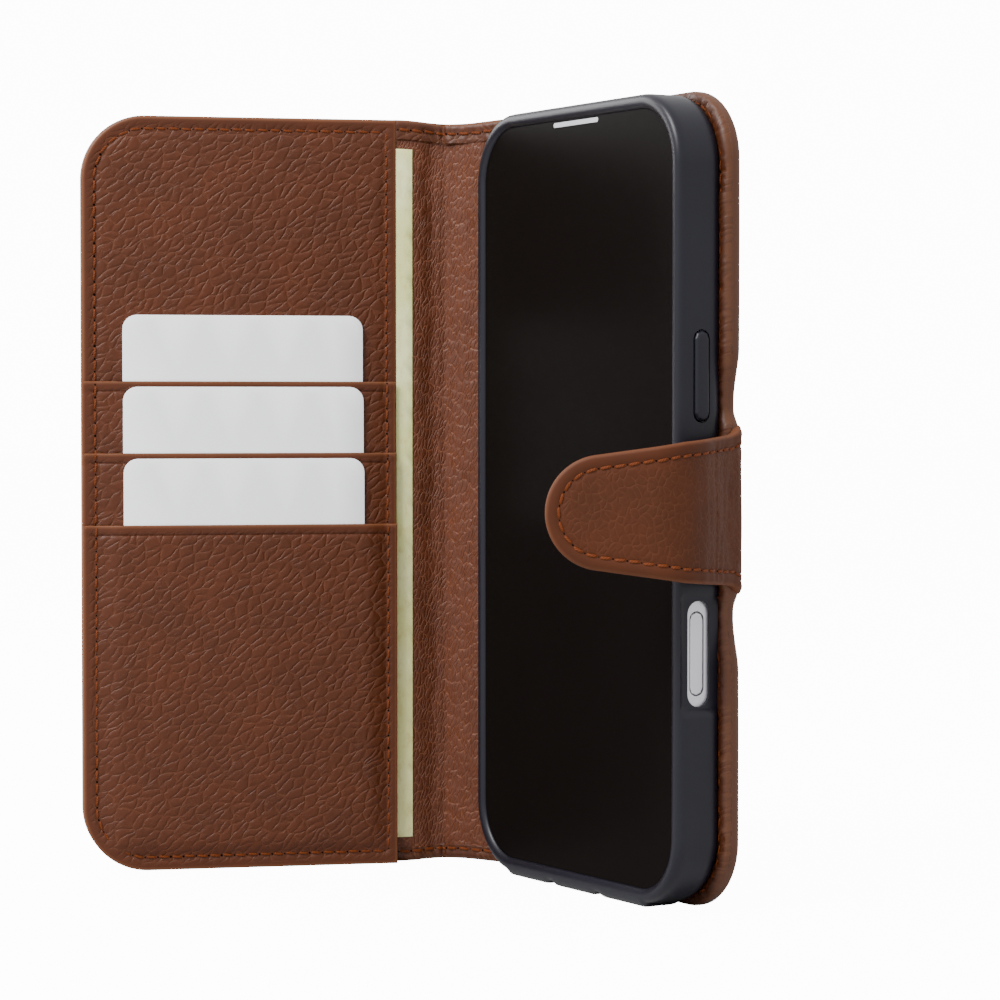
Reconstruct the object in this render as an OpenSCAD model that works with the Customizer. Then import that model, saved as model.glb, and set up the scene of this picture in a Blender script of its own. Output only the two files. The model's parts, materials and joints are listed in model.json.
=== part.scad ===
// Phone wallet case, standing open on its lower edge.
// +X runs from the spine to the free edge of the back cover, +Y points out of the back
// cover's outer face, +Z is up. The origin is the middle of the back cover's lower edge.

/* [Phone] */
// Width of the phone
phone_w = 77.6; // [76:0.1:79]
// Height of the phone
phone_h = 163; // [160:0.5:165]
// Thickness of the phone, glass to glass
phone_t = 8.7; // [8.5:0.1:9]
// Corner radius of the phone
phone_r = 13.2; // [11:0.1:14]

/* [Soft shell] */
// Side wall of the shell
shell_wall = 1.6; // [1.4:0.1:1.8]
// Back wall of the shell
shell_back = 1.5; // [1.2:0.1:1.8]
// Height of the lip above the phone's glass
lip_h = 0.8; // [0.6:0.1:1]
// Width of the lip over the phone's edge, from the outside
lip_w = 3.1; // [2.8:0.1:3.5]

/* [Covers] */
// Height of the covers
case_h = 168.2; // [168:0.1:172]
// Width of the front cover, from its fold
cover_w = 82.3; // [80:0.1:82.3]
// Corner radius on the free edges
corner_r = 14.5; // [12:0.5:16]
// Outer leather
leather_t = 1.1; // [1:0.1:1.3]
// Lining leather
lining_t = 0.7; // [0.6:0.1:0.8]
// Board inside the front cover
front_board_t = 1; // [0.8:0.1:1.2]
// Board inside the back cover
back_board_t = 1.2; // [1.2:0.1:1.4]
// Distance of a seam from the edge
seam_inset = 2.6; // [2.2:0.1:3]
// Width of a line of thread
thread_w = 0.6; // [0.4:0.1:0.8]

/* [Fold of the case] */
// Distance between the spine's two folds
spine_w = 19.3; // [19.3:0.1:20.5]
// How far the spine is folded out of the back cover's plane, in degrees
spine_fold = 39.3; // [35:0.1:45]
// How far the front cover is folded out of the spine's plane, in degrees
cover_fold = 31.7; // [25:0.1:40]

/* [Card pockets] */
// Distance from the fold to the edge of the card panel
panel_u = 11.4; // [10:0.1:13]
// Opening edges of the upper, middle and lower pocket, above the floor
pocket_top = [109, 93, 77]; // [70:1:112]
// Leather of the pockets
pocket_t = 0.3; // [0.3:0.05:0.35]
// Width, height and thickness of a card
card_size = [54, 85.6, 0.76]; // [0.7:0.02:86]
// Part of each card that stands above its pocket
card_show = 14.8; // [12:0.1:18]
// Distance from the fold to the cards
card_u = 19.2; // [18:0.1:20]
// Width, height and thickness of the banknote
note_size = [66, 156, 0.1]; // [0.1:0.1:158]
// Part of the banknote that stands out of its pocket
note_show = 3.7; // [2:0.1:5]

/* [Closing strap] */
// Height of the strap's middle line
strap_z = 82.4; // [80:0.1:85]
// Half width at the root, at the second fold and at the tip
strap_half = [15.5, 14, 11.5];
// Distance between the strap's two folds
strap_side = 21.6; // [21.6:0.1:23]
// Length of the tab from the second fold to the tip
tab_len = 28.8; // [26:0.1:30]
// How far each strap fold is bent at rest, in degrees
strap_fold = 60; // [50:1:70]
// Distance of the closing magnet from the second fold
magnet_u = 14.5; // [13:0.5:16]

/* [Hidden] */
$fn = 48;

brown = [0.42, 0.23, 0.15];
brown_lining = [0.47, 0.28, 0.19];
thread_color = [0.66, 0.34, 0.1];
board_color = [0.55, 0.5, 0.42];
shell_color = [0.2, 0.2, 0.22];
metal_color = [0.72, 0.72, 0.74];

e = 0.01;                               // overrun of a cutting tool
play = 0.1;                             // play between a phone and its shell
pack_t = leather_t + lining_t;          // leather and lining at a fold
knuckle_r = pack_t / 2;                 // round edge of the leather on a fold's axis
hinge_gap = knuckle_r + 0.3;            // from a fold's axis to the next panel
fold_relief = 1;                        // inner layers end this much further from a fold
hem_gap = 1.9;                          // from a fold's axis to the spine's turned-in hems
back_t = leather_t + back_board_t + lining_t;
front_t = leather_t + front_board_t + lining_t;

// back cover, shell and phone, from the outer face inwards
outer_y = back_t / 2;
inner_y = -back_t / 2;
pad_t = 0.2;
shell_y = inner_y - pad_t;
phone_back_y = shell_y - shell_back - play / 2;
phone_front_y = phone_back_y - phone_t;
lip_y = phone_front_y - play / 2 - lip_h;
shell_w = phone_w + 2 * (shell_wall + play);
shell_h = phone_h + 2 * (shell_wall + play);
shell_r = phone_r + shell_wall + play;
phone_z = case_h / 2 + 0.1;
back_edge_x = shell_w / 2 + 1.6;
hinge_b = [-shell_w / 2 - knuckle_r - 0.35, outer_y - knuckle_r];
spine_dir = 180 + spine_fold;
cover_dir = spine_dir + cover_fold;
hinge_f = hinge_b + spine_w * [cos(spine_dir), sin(spine_dir)];

// rear camera and the window over it
island_w = 30;
island_h = 34;
island_r = 9;
island_x = 19;
island_z = phone_z + 59.3;
window_rim = 3;

// keys in the phone's sides: height above the phone's middle and length
key_y = -7.1;
key_w = 3.5;
side_key = [25.3, 18.5];
volume_up_key = [34.5, 12];
volume_down_key = [19.5, 12];
action_key = [48, 8];
camera_key = [-31, 17];
camera_slot = [21.6, 5.4];
cover_proud = 0.7;
cover_root = 0.5;                       // gap between a button cover and the phone
key_depth = 1.3;                        // depth of a key's pocket in the frame

// layers of the front cover, from its outer face inwards
cell_t = card_size[2] + 0.02;           // room for one card
note_gap = 0.15;
panel_v = front_t + note_gap;
panel_t = 0.3;
layer_v = panel_v + panel_t;            // the card panel's face
layer_step = cell_t + pocket_t;
layer_inset = 0.5;                      // inner layers end inside the outer leather
hem_w = [3.5, 5];                       // turned-in hem at the bottom and the top
hem_t = 0.35;
groove = 0.2;                           // depth of the thread in the leather
seam_w = 4;                             // sewn margin of the note pocket

// closing strap
strap_t = pack_t;
strap_hinge = [shell_w / 2 + 1.3, 0.8];
side_dir = -strap_fold;
tab_dir = -2 * strap_fold;
tab_hinge = strap_hinge + strap_side * [cos(side_dir), sin(side_dir)];
notch_x = strap_hinge[0] - knuckle_r - 1;
tongue_len = 20;
tongue_t = 0.9;
magnet_r = 7;
magnet_t = 0.8;

// ---- shared shapes ----

// Stands a flat outline up on the floor, between two depths
module slab(y0, y1)
    translate([0, y1, 0]) rotate([90, 0, 0]) linear_extrude(y1 - y0) children();

// Places a shape in a flap's own frame: along the flap, across its thickness and up
module place(hinge, direction, axis_depth)
    translate([hinge[0], hinge[1], 0]) rotate([0, 0, direction]) translate([0, -axis_depth, 0])
        children();

module in_spine() place(hinge_b, spine_dir, knuckle_r) children();
module in_cover() place(hinge_f, cover_dir, knuckle_r) children();
module in_side() place(strap_hinge, side_dir, knuckle_r) children();
module in_tab() place(tab_hinge, tab_dir, knuckle_r) children();

module rounded_rect(w, h, r) {
    square([w - 2 * r, h], center = true);
    square([w, h - 2 * r], center = true);
    for (x = [-1, 1], z = [-1, 1]) translate([x * (w / 2 - r), z * (h / 2 - r)]) circle(r);
}

// A cover's outline: square on the fold side and rounded on the free side
module cover_outline(x0, x1, inset) {
    r = corner_r - inset;
    right = x1 - inset;
    translate([x0, inset]) square([right - r - x0, case_h - 2 * inset]);
    translate([x0, inset + r]) square([right - x0, case_h - 2 * (inset + r)]);
    for (z = [inset + r, case_h - inset - r]) translate([right - r, z]) circle(r);
}

// A line of thread round the closed edges of a cover
module cover_seam(x0, x1, inset)
    difference() {
        cover_outline(x0, x1, inset);
        cover_outline(x0 - e, x1, inset + thread_w);
    }

module front_outline(x0, inset) cover_outline(x0, cover_w, inset);
module back_outline(x0, inset) cover_outline(x0, back_edge_x, inset);

module phone_outline(grow)
    translate([0, phone_z]) rounded_rect(phone_w + 2 * grow, phone_h + 2 * grow, phone_r + grow);

module camera_outline(rim)
    translate([island_x, island_z])
        rounded_rect(island_w + 2 * rim, island_h + 2 * rim, island_r + rim);

// A pill-shaped bar in a side wall, from x0 to x1
module side_pill(x0, x1, key, w, grow = 0) {
    length = key[1] + 2 * grow;
    width = w + 2 * grow;
    translate([x0, key_y, phone_z + key[0]]) rotate([90, 0, 90]) linear_extrude(x1 - x0) {
        square([width, length - width], center = true);
        for (z = [-1, 1]) translate([0, z * (length - width) / 2]) circle(width / 2);
    }
}

// ---- front cover ----

module front_panel_layer(x0, inset, v0, v1) slab(v0, v1) front_outline(x0, inset);

module seam_groove(v, depth) slab(v, v + depth) cover_seam(hinge_gap - e, cover_w, seam_inset);

// Room for the spine beside the front cover's inner layers when the case is closed
module front_relief()
    slab(pack_t, front_t + e) translate([hinge_gap - e, -e])
        square([fold_relief + e, case_h + 2 * e]);

module front_outer_leather() color(brown) in_cover() difference() {
    union() {
        front_panel_layer(hinge_gap, 0, 0, front_t);
        // hems turned in over the lining, beside the card panel
        for (side = [0, 1])
            slab(front_t, front_t + hem_t)
                translate([hinge_gap + 1, side * (case_h - hem_w[side])])
                    square([panel_u - hinge_gap - 1.3, hem_w[side]]);
    }
    front_panel_layer(hinge_gap - e, leather_t, leather_t, front_t);
    front_relief();
    seam_groove(-e, groove + e);
}

module front_board() color(board_color) in_cover() difference() {
    front_panel_layer(hinge_gap + 1.2, leather_t, leather_t, leather_t + front_board_t);
    // seat of the closing plate
    slab(leather_t - e, leather_t + front_board_t / 2) keeper_outline();
}

module front_lining() color(brown_lining) in_cover() difference() {
    union() {
        front_panel_layer(hinge_gap + 1.2, leather_t, leather_t + front_board_t, front_t);
        // end that comes down to the outer leather at the fold
        slab(leather_t, front_t) translate([hinge_gap, leather_t])
            square([1.2, case_h - 2 * leather_t]);
    }
    front_relief();
}

// Outline of the plate that the strap's magnet meets when the case is closed
module keeper_outline()
    translate([strap_hinge[0] - hinge_b[0] - magnet_u, strap_z]) circle(magnet_r + 1);

module closing_plate() color("silver") in_cover()
    slab(leather_t, leather_t + front_board_t / 2) keeper_outline();

// Panel that the card pockets are sewn to, open towards the spine for banknotes
module card_panel() color(brown) in_cover() difference() {
    front_panel_layer(panel_u, layer_inset, front_t, layer_v);
    slab(front_t - e, panel_v) translate([panel_u - e, seam_w])
        square([note_size[0] - note_show + 2, case_h - 2 * seam_w]);
    panel_thread(0, e);
}

// Thread in one face of the stepped card panel; level 0 is the panel and 3 the lower pocket
module panel_thread(level, overrun = 0) {
    face = layer_v + level * layer_step;
    top = level == 0 ? case_h : pocket_top[level - 1];
    bottom = level == 3 ? 0 : pocket_top[level];
    slab(face - groove, face + overrun) intersection() {
        union() {
            cover_seam(panel_u, cover_w, seam_inset);
            translate([panel_u + 2, seam_inset]) square([thread_w, case_h - 2 * seam_inset]);
        }
        translate([panel_u, bottom]) square([cover_w, top - bottom]);
    }
}

// One pocket: a flat pouch with a cell for its card, open at the top
module card_pocket(level) color(brown) in_cover() {
    back = layer_v + (level - 1) * layer_step;
    top = pocket_top[level - 1];
    difference() {
        slab(back, back + layer_step) intersection() {
            front_outline(panel_u, layer_inset);
            square([cover_w, top]);
        }
        slab(back - e, back + cell_t) translate([card_u - 0.2, card_bottom(level) - 0.1])
            square([card_size[0] + 0.4, card_size[1]]);
        panel_thread(level, e);
    }
}

module card_pocket_upper() card_pocket(1);
module card_pocket_middle() card_pocket(2);
module card_pocket_lower() card_pocket(3);

function card_bottom(level) = pocket_top[level - 1] + card_show - card_size[1];

module card(level) color([0.9, 0.9, 0.91]) in_cover() {
    back = layer_v + (level - 1) * layer_step + 0.01;
    slab(back, back + card_size[2])
        translate([card_u + card_size[0] / 2, card_bottom(level) + card_size[1] / 2])
            rounded_rect(card_size[0], card_size[1], 3.18);
}

module card_upper() card(1);
module card_middle() card(2);
module card_lower() card(3);

module banknote() color([0.83, 0.84, 0.72]) in_cover()
    slab(front_t + 0.02, front_t + 0.02 + note_size[2])
        translate([panel_u - note_show, (case_h - note_size[1]) / 2 - 0.5])
            square([note_size[0], note_size[1]]);

module front_stitching() color(thread_color) in_cover() {
    seam_groove(0, groove);
    for (level = [0:3]) panel_thread(level);
}

// ---- spine ----

// Cross-section of the spine: a flat band with a round edge on each fold
module spine_section(v0, v1, length, r) linear_extrude(case_h) intersection() {
    union() {
        square([length, 2 * r]);
        for (u = [0, length]) translate([u, r]) circle(r);
    }
    translate([-r, v0]) square([length + 2 * r, v1 - v0]);
}

module spine_hem(side)
    slab(pack_t, pack_t + hem_t) translate([hem_gap, side * (case_h - hem_w[side])])
        square([spine_w - 2 * hem_gap, hem_w[side]]);

module spine_thread(side)
    slab(pack_t + hem_t - groove, pack_t + hem_t)
        translate([hem_gap, side ? case_h - seam_inset : seam_inset - thread_w])
            square([spine_w - 2 * hem_gap, thread_w]);

module spine_outer_leather() color(brown) in_spine() {
    spine_section(0, leather_t, spine_w, knuckle_r);
    for (side = [0, 1]) difference() {
        spine_hem(side);
        spine_thread(side);
    }
}

module spine_lining() color(brown_lining) in_spine()
    spine_section(leather_t, pack_t, spine_w, knuckle_r);

module spine_stitching() color(thread_color) in_spine() for (side = [0, 1]) spine_thread(side);

// ---- back cover ----

module back_layer(x0, inset, y0, y1) slab(y0, y1) difference() {
    back_outline(x0, inset);
    camera_outline(window_rim);
    // notch that the closing strap folds in
    translate([notch_x, strap_z - strap_half[0] - 0.5])
        square([back_edge_x, 2 * strap_half[0] + 1]);
}

module back_thread() slab(outer_y - groove, outer_y + e) difference() {
    cover_seam(hinge_b[0] + hinge_gap - e, back_edge_x, seam_inset);
    translate([notch_x - 1, strap_z - strap_half[0] - 1.5])
        square([back_edge_x, 2 * strap_half[0] + 3]);
}

module tongue(grow) slab(outer_y - leather_t - tongue_t, outer_y - leather_t)
    translate([notch_x - tongue_len - grow, strap_z - strap_half[0] + 1 - grow])
        square([tongue_len + 2 * grow, 2 * strap_half[0] - 2 + 2 * grow]);

module back_outer_leather() color(brown) difference() {
    back_layer(hinge_b[0] + hinge_gap, 0, inner_y, outer_y);
    slab(inner_y - e, outer_y - leather_t)
        back_outline(hinge_b[0] + hinge_gap - e, leather_t);
    // room for the spine beside the inner layers when the case is closed
    slab(inner_y - e, outer_y - pack_t) translate([hinge_b[0] + hinge_gap - e, -e])
        square([fold_relief + e, case_h + 2 * e]);
    back_thread();
}

module back_board() color(board_color) difference() {
    back_layer(hinge_b[0] + hinge_gap + 1.2, leather_t, inner_y + lining_t, outer_y - leather_t);
    tongue(0.05);
}

module back_lining() color(brown_lining)
    back_layer(hinge_b[0] + hinge_gap + fold_relief, leather_t, inner_y, inner_y + lining_t);

module back_stitching() color(thread_color) intersection() {
    back_thread();
    back_layer(hinge_b[0] + hinge_gap, 0, inner_y, outer_y);
}

module shell_bonding_pad() color([0.85, 0.85, 0.8]) slab(shell_y, inner_y) difference() {
    phone_outline(-4);
    camera_outline(window_rim + 3);
    translate([notch_x - 2, strap_z - strap_half[0] - 3])
        square([back_edge_x, 2 * strap_half[0] + 6]);
}

// ---- soft shell and its button covers ----

module phone_shell() color(shell_color) difference() {
    slab(lip_y, shell_y) phone_outline(shell_wall + play);
    slab(phone_front_y - play / 2, phone_back_y + play / 2) phone_outline(play);
    slab(lip_y - e, phone_front_y) phone_outline(shell_wall + play - lip_w);
    slab(phone_back_y - e, shell_y + e) camera_outline(window_rim / 2);
    side_pill(phone_w / 2 - e, shell_w / 2 + e, side_key, key_w, 0.2);
    side_pill(phone_w / 2 - e, shell_w / 2 + e, [camera_key[0], camera_slot[0]], camera_slot[1]);
    for (key = [volume_up_key, volume_down_key, action_key])
        side_pill(-shell_w / 2 - e, -phone_w / 2 + e, key, key_w, 0.2);
    // openings over the charging port and the speakers
    bottom_pill(0, 13, 6.4);
    for (side = [-1, 1]) bottom_pill(side * 20, 13, 4.6);
}

// A pill-shaped opening through the shell's lower wall
module bottom_pill(x, length, w)
    translate([x, (phone_front_y + phone_back_y) / 2, phone_z - shell_h / 2 - e])
        linear_extrude(shell_wall + play + 2 * e) {
            square([length - w, w], center = true);
            for (side = [-1, 1]) translate([side * (length - w) / 2, 0]) circle(w / 2);
        }

module right_cover(key) color(shell_color)
    side_pill(phone_w / 2 + cover_root, shell_w / 2 + cover_proud, key, key_w);

module left_cover(key) color(shell_color)
    side_pill(-shell_w / 2 - cover_proud, -phone_w / 2 - cover_root, key, key_w);

module side_button_cover() right_cover(side_key);
module volume_up_cover() left_cover(volume_up_key);
module volume_down_cover() left_cover(volume_down_key);
module action_button_cover() left_cover(action_key);

// ---- phone ----

glass_inset = 0.8;
glass_t = 0.6;

module phone_frame() color(metal_color) difference() {
    slab(phone_front_y + 0.1, phone_back_y) phone_outline(0);
    slab(phone_front_y, phone_front_y + glass_t) phone_outline(-glass_inset);
    slab(phone_back_y - glass_t, phone_back_y + e) phone_outline(-glass_inset);
    side_pill(phone_w / 2 - key_depth, phone_w / 2 + e, side_key, 2.6, -0.3);
    side_pill(phone_w / 2 - key_depth, phone_w / 2 + e, camera_key, 3.2, 0.15);
    for (key = [volume_up_key, volume_down_key, action_key])
        side_pill(-phone_w / 2 - e, -phone_w / 2 + key_depth, key, 2.6, -0.3);
    // charging port and speaker holes
    translate([0, (phone_front_y + phone_back_y) / 2, phone_z - phone_h / 2 - e])
        linear_extrude(6) {
            square([5.8, 3.2], center = true);
            for (side = [-1, 1]) translate([side * 2.9, 0]) circle(1.6);
        }
    for (side = [-1, 1], i = [-2:2])
        translate([side * 20 + i * 2.2, (phone_front_y + phone_back_y) / 2,
                   phone_z - phone_h / 2 - e])
            cylinder(h = 2, r = 0.7);
}

module phone_screen() color([0.07, 0.06, 0.06]) difference() {
    slab(phone_front_y, phone_front_y + glass_t) phone_outline(-glass_inset);
    earpiece_bar(phone_front_y - e, phone_front_y + glass_t + e, 0.05);
}

module earpiece_bar(y0, y1, grow)
    slab(y0, y1) translate([0, phone_z + phone_h / 2 - glass_inset - 1.4]) {
        square([17, 1 + 2 * grow], center = true);
        for (side = [-1, 1]) translate([side * 8.5, 0]) circle(0.5 + grow);
    }

module phone_earpiece() color([0.5, 0.5, 0.52])
    earpiece_bar(phone_front_y + 0.1, phone_front_y + glass_t, 0);

module phone_back_glass() color([0.3, 0.31, 0.33]) slab(phone_back_y - glass_t, phone_back_y)
    phone_outline(-glass_inset);

module phone_camera_island() color([0.28, 0.29, 0.31]) difference() {
    slab(phone_back_y, phone_back_y + 2.2) camera_outline(0);
    for (lens = lens_places) slab(phone_back_y + 0.6, phone_back_y + 2.3)
        translate([island_x, island_z] + lens) circle(lens_r);
    slab(phone_back_y + 0.6, phone_back_y + 2.3)
        translate([island_x, island_z] + lamp_place) circle(lamp_r);
}

lens_r = 7;
lamp_r = 2.4;
lens_places = [[6, 7.8], [6, -7.8]];
lamp_place = [-8, 0];

module phone_camera_lenses() color([0.1, 0.1, 0.12]) {
    for (lens = lens_places) slab(phone_back_y + 0.6, phone_back_y + 2.9)
        translate([island_x, island_z] + lens) circle(lens_r);
    slab(phone_back_y + 0.6, phone_back_y + 2.2)
        translate([island_x, island_z] + lamp_place) circle(lamp_r);
}

module right_key(key, proud) color(metal_color)
    side_pill(phone_w / 2 - key_depth + 0.35, phone_w / 2 + proud, key, 2.6, -0.45);

module left_key(key) color(metal_color)
    side_pill(-phone_w / 2 - 0.2, -phone_w / 2 + key_depth - 0.35, key, 2.6, -0.45);

module phone_side_key() right_key(side_key, 0.2);
module phone_volume_up_key() left_key(volume_up_key);
module phone_volume_down_key() left_key(volume_down_key);
module phone_action_key() left_key(action_key);
module phone_camera_key() color(metal_color)
    side_pill(phone_w / 2 - key_depth + 0.35, phone_w / 2, camera_key, 3.2);

// ---- closing strap ----

// Strap's outline from u0 to its round tip, with the tip's centre at tip_u
module tab_outline(u0, inset) {
    half = strap_half[1];
    tip = strap_half[2];
    centre = tab_len - tip;
    slope = asin((half - tip) / sqrt(centre * centre + half * half));
    r = tip - inset;
    translate([0, strap_z]) {
        polygon([
            [u0, inset - half], [centre + r * sin(slope), -r * cos(slope)],
            [centre + r * sin(slope), r * cos(slope)], [u0, half - inset],
        ]);
        translate([centre, 0]) circle(r);
    }
}

// The strap between its folds: a band with round edges, tapered along its length
module side_band(v0, v1) intersection() {
    translate([0, 0, strap_z - case_h / 2]) spine_section(v0, v1, strap_side, knuckle_r);
    slab(-e, strap_t + e) translate([0, strap_z]) polygon([
        [-knuckle_r - e, -strap_half[0]], [0, -strap_half[0]], [strap_side, -strap_half[1]],
        [strap_side + knuckle_r + e, -strap_half[1]], [strap_side + knuckle_r + e, strap_half[1]],
        [strap_side, strap_half[1]], [0, strap_half[0]], [-knuckle_r - e, strap_half[0]],
    ]);
}

module strap_root() color(brown) {
    tongue(0);
    slab(strap_hinge[1] - knuckle_r, strap_hinge[1] + knuckle_r)
        translate([notch_x, strap_z - strap_half[0]])
            square([strap_hinge[0] - hinge_gap - notch_x, 2 * strap_half[0]]);
}

module strap_side_leather() color(brown) in_side() side_band(lining_t, strap_t);
module strap_side_lining() color(brown_lining) in_side() side_band(0, lining_t);

module tab_thread() slab(strap_t - groove, strap_t + e) difference() {
    tab_outline(hinge_gap, seam_inset);
    tab_outline(hinge_gap - e, seam_inset + thread_w);
}

module strap_tab_leather() color(brown) in_tab() difference() {
    slab(lining_t, strap_t) tab_outline(hinge_gap, 0);
    magnet_disc();
    tab_thread();
}

module strap_tab_lining() color(brown_lining) in_tab() difference() {
    slab(0, lining_t) tab_outline(hinge_gap, 0);
    magnet_disc();
}

module strap_tab_stitching() color(thread_color) in_tab() intersection() {
    tab_thread();
    slab(0, strap_t) tab_outline(hinge_gap, 0);
}

module magnet_disc() slab((strap_t - magnet_t) / 2, (strap_t + magnet_t) / 2)
    translate([magnet_u, strap_z]) circle(magnet_r);

module strap_magnet() color("silver") in_tab() magnet_disc();

front_outer_leather();
front_board();
front_lining();
card_panel();
card_pocket_upper();
card_pocket_middle();
card_pocket_lower();
front_stitching();
closing_plate();
card_upper();
card_middle();
card_lower();
banknote();
spine_outer_leather();
spine_lining();
spine_stitching();
back_outer_leather();
back_board();
back_lining();
back_stitching();
shell_bonding_pad();
phone_shell();
side_button_cover();
volume_up_cover();
volume_down_cover();
action_button_cover();
phone_frame();
phone_screen();
phone_back_glass();
phone_earpiece();
phone_camera_island();
phone_camera_lenses();
phone_side_key();
phone_volume_up_key();
phone_volume_down_key();
phone_action_key();
phone_camera_key();
strap_root();
strap_side_leather();
strap_side_lining();
strap_tab_leather();
strap_tab_lining();
strap_tab_stitching();
strap_magnet();
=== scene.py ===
"""Looks of the phone wallet case: leather, thread, soft shell, phone, cards and note."""
import json
import math

import bmesh
import bpy
import numpy as np
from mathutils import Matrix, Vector
from mathutils.geometry import delaunay_2d_cdt

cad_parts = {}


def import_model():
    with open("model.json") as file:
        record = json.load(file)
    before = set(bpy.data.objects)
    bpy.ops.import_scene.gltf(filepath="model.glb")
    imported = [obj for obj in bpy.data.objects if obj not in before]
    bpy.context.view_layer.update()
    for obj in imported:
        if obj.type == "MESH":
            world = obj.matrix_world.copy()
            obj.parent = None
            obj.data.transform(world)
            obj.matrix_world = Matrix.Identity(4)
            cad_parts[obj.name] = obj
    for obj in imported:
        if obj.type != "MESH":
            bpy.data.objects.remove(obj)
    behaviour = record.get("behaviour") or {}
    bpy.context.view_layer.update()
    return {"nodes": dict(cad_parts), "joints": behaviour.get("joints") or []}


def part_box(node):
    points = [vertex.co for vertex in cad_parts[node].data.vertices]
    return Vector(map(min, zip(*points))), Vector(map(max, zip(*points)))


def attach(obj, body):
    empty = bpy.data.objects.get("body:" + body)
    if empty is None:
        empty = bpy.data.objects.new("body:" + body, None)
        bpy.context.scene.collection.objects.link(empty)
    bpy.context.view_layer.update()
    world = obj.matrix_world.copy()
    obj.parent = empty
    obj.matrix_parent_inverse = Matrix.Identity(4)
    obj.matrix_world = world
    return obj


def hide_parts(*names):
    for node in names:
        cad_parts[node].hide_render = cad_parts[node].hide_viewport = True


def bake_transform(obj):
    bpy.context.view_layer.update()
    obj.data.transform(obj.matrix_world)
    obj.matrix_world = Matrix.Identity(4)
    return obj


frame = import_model()

MM = 0.001

# ---- places from the frame


def joint(name):
    """The frame's entry for a joint."""
    return next(j for j in frame["joints"] if j["name"] == name)


def hinge(name):
    """A fold's axis, seen from above, in millimetres."""
    return np.array(joint(name)["pos_m"][:2]) / MM


def box_mm(node):
    """A CAD node's lower and upper corners, in millimetres."""
    low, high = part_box(node)
    return np.array(low) / MM, np.array(high) / MM


def centre_mm(node):
    low, high = box_mm(node)
    return (low + high) / 2


FOLD_B = hinge("spine_fold")
FOLD_F = hinge("cover_fold")
STRAP_A = hinge("strap_root_fold")
STRAP_B = hinge("strap_tab_fold")
COVER_DIR = -np.array(joint("note_slide")["axis"][:2])
SPINE = float(np.linalg.norm(FOLD_F - FOLD_B))
SIDE = float(np.linalg.norm(STRAP_B - STRAP_A))

HEIGHT = box_mm("back_outer_leather")[1][2]
BACK_EDGE = box_mm("back_outer_leather")[1][0]
BACK_W = BACK_EDGE - FOLD_B[0]
FREE_A = SPINE + BACK_W           # the back cover's free edge, along the case
COVER_W = 82.3
CORNER = 14.5
AXIS_V = 0.9                      # depth of the folds' axes below the outer face
FRONT_T, SPINE_T, BACK_T = 2.8, 1.8, 3.0  # thickness without the panel and the pockets
HEM_T = 0.35
HEM_LOW, HEM_HIGH = 3.5, 5.0      # width of the turned-in hems over the spine
PANEL_A = -11.4                   # edge of the card panel, along the case
PANEL_TOP = 3.25                  # depth of the card panel's face
PANEL_INSET = 0.3                 # of the panel inside the cover's edge
LAYER_STEP = 1.08                 # one card and one pocket
POCKET_CREASE = 2.2               # the creased line below a pocket's top edge
MARGIN_STEP = 0.8                 # one pocket at its sewn margin
POCKET_TOPS = (109.0, 93.0, 77.0)
CARD_A0, CARD_A1 = -73.2, -19.2   # side edges of the cards, along the case
CARD_T, CARD_R = 0.76, 3.18       # a card's thickness and corner radius
SEAM = 2.7                        # distance of a seam from its edge
STITCH_PITCH = 2.85
STITCH_RINGS, STITCH_SIDES = 7, 8

STRAP_Z = 82.4                    # height of the strap's middle
STRAP_HALF = (15.5, 14.0, 11.5)   # half widths at the root, the second fold and the tip
STRAP_TUCK = -7.0                 # where the strap starts under the back cover's leather
STRAP_SEAM = 2.75
TAB_LEN = 28.8
STRAP_T = 1.8
NOTCH_HALF = 13.2                 # half height of the back cover's notch for the strap

SHELL_LOW, SHELL_HIGH = box_mm("phone_shell")
ISLAND_LOW, ISLAND_HIGH = box_mm("phone_camera_island")

# ---- numbers and noise

NOISE_TABLE = np.random.RandomState(11).rand(256, 256) * 2 - 1


def smooth(low, high, x):
    """0 below low, 1 above high and an even curve between them."""
    t = np.clip((x - low) / (high - low), 0, 1)
    return t * t * (3 - 2 * t)


def bump(x, centre, half):
    """1 at the centre, falling to 0 half away from it."""
    return 1 - smooth(0, half, np.abs(x - centre))


def noise(x, y, octaves=1):
    """Smooth noise from -1 to 1."""
    total, size = 0, 1.0
    for _ in range(octaves):
        xi, yi = np.floor(x).astype(int), np.floor(y).astype(int)
        fx, fy = x - xi, y - yi
        fx, fy = fx * fx * (3 - 2 * fx), fy * fy * (3 - 2 * fy)
        at = lambda i, j: NOISE_TABLE[(yi + j) % 256, (xi + i) % 256]
        top = at(0, 0) * (1 - fx) + at(1, 0) * fx
        low = at(0, 1) * (1 - fx) + at(1, 1) * fx
        total = total + size * (top * (1 - fy) + low * fy)
        x, y, size = x * 2.03 + 17.3, y * 2.03 + 9.1, size * 0.5
    return total


def ridges(x, y, sharp=3.0):
    """Thin creases, 1 on a crease and 0 between them."""
    return (1 - np.abs(noise(x, y, 2)).clip(0, 1)) ** sharp


# ---- paths of the flaps


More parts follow.
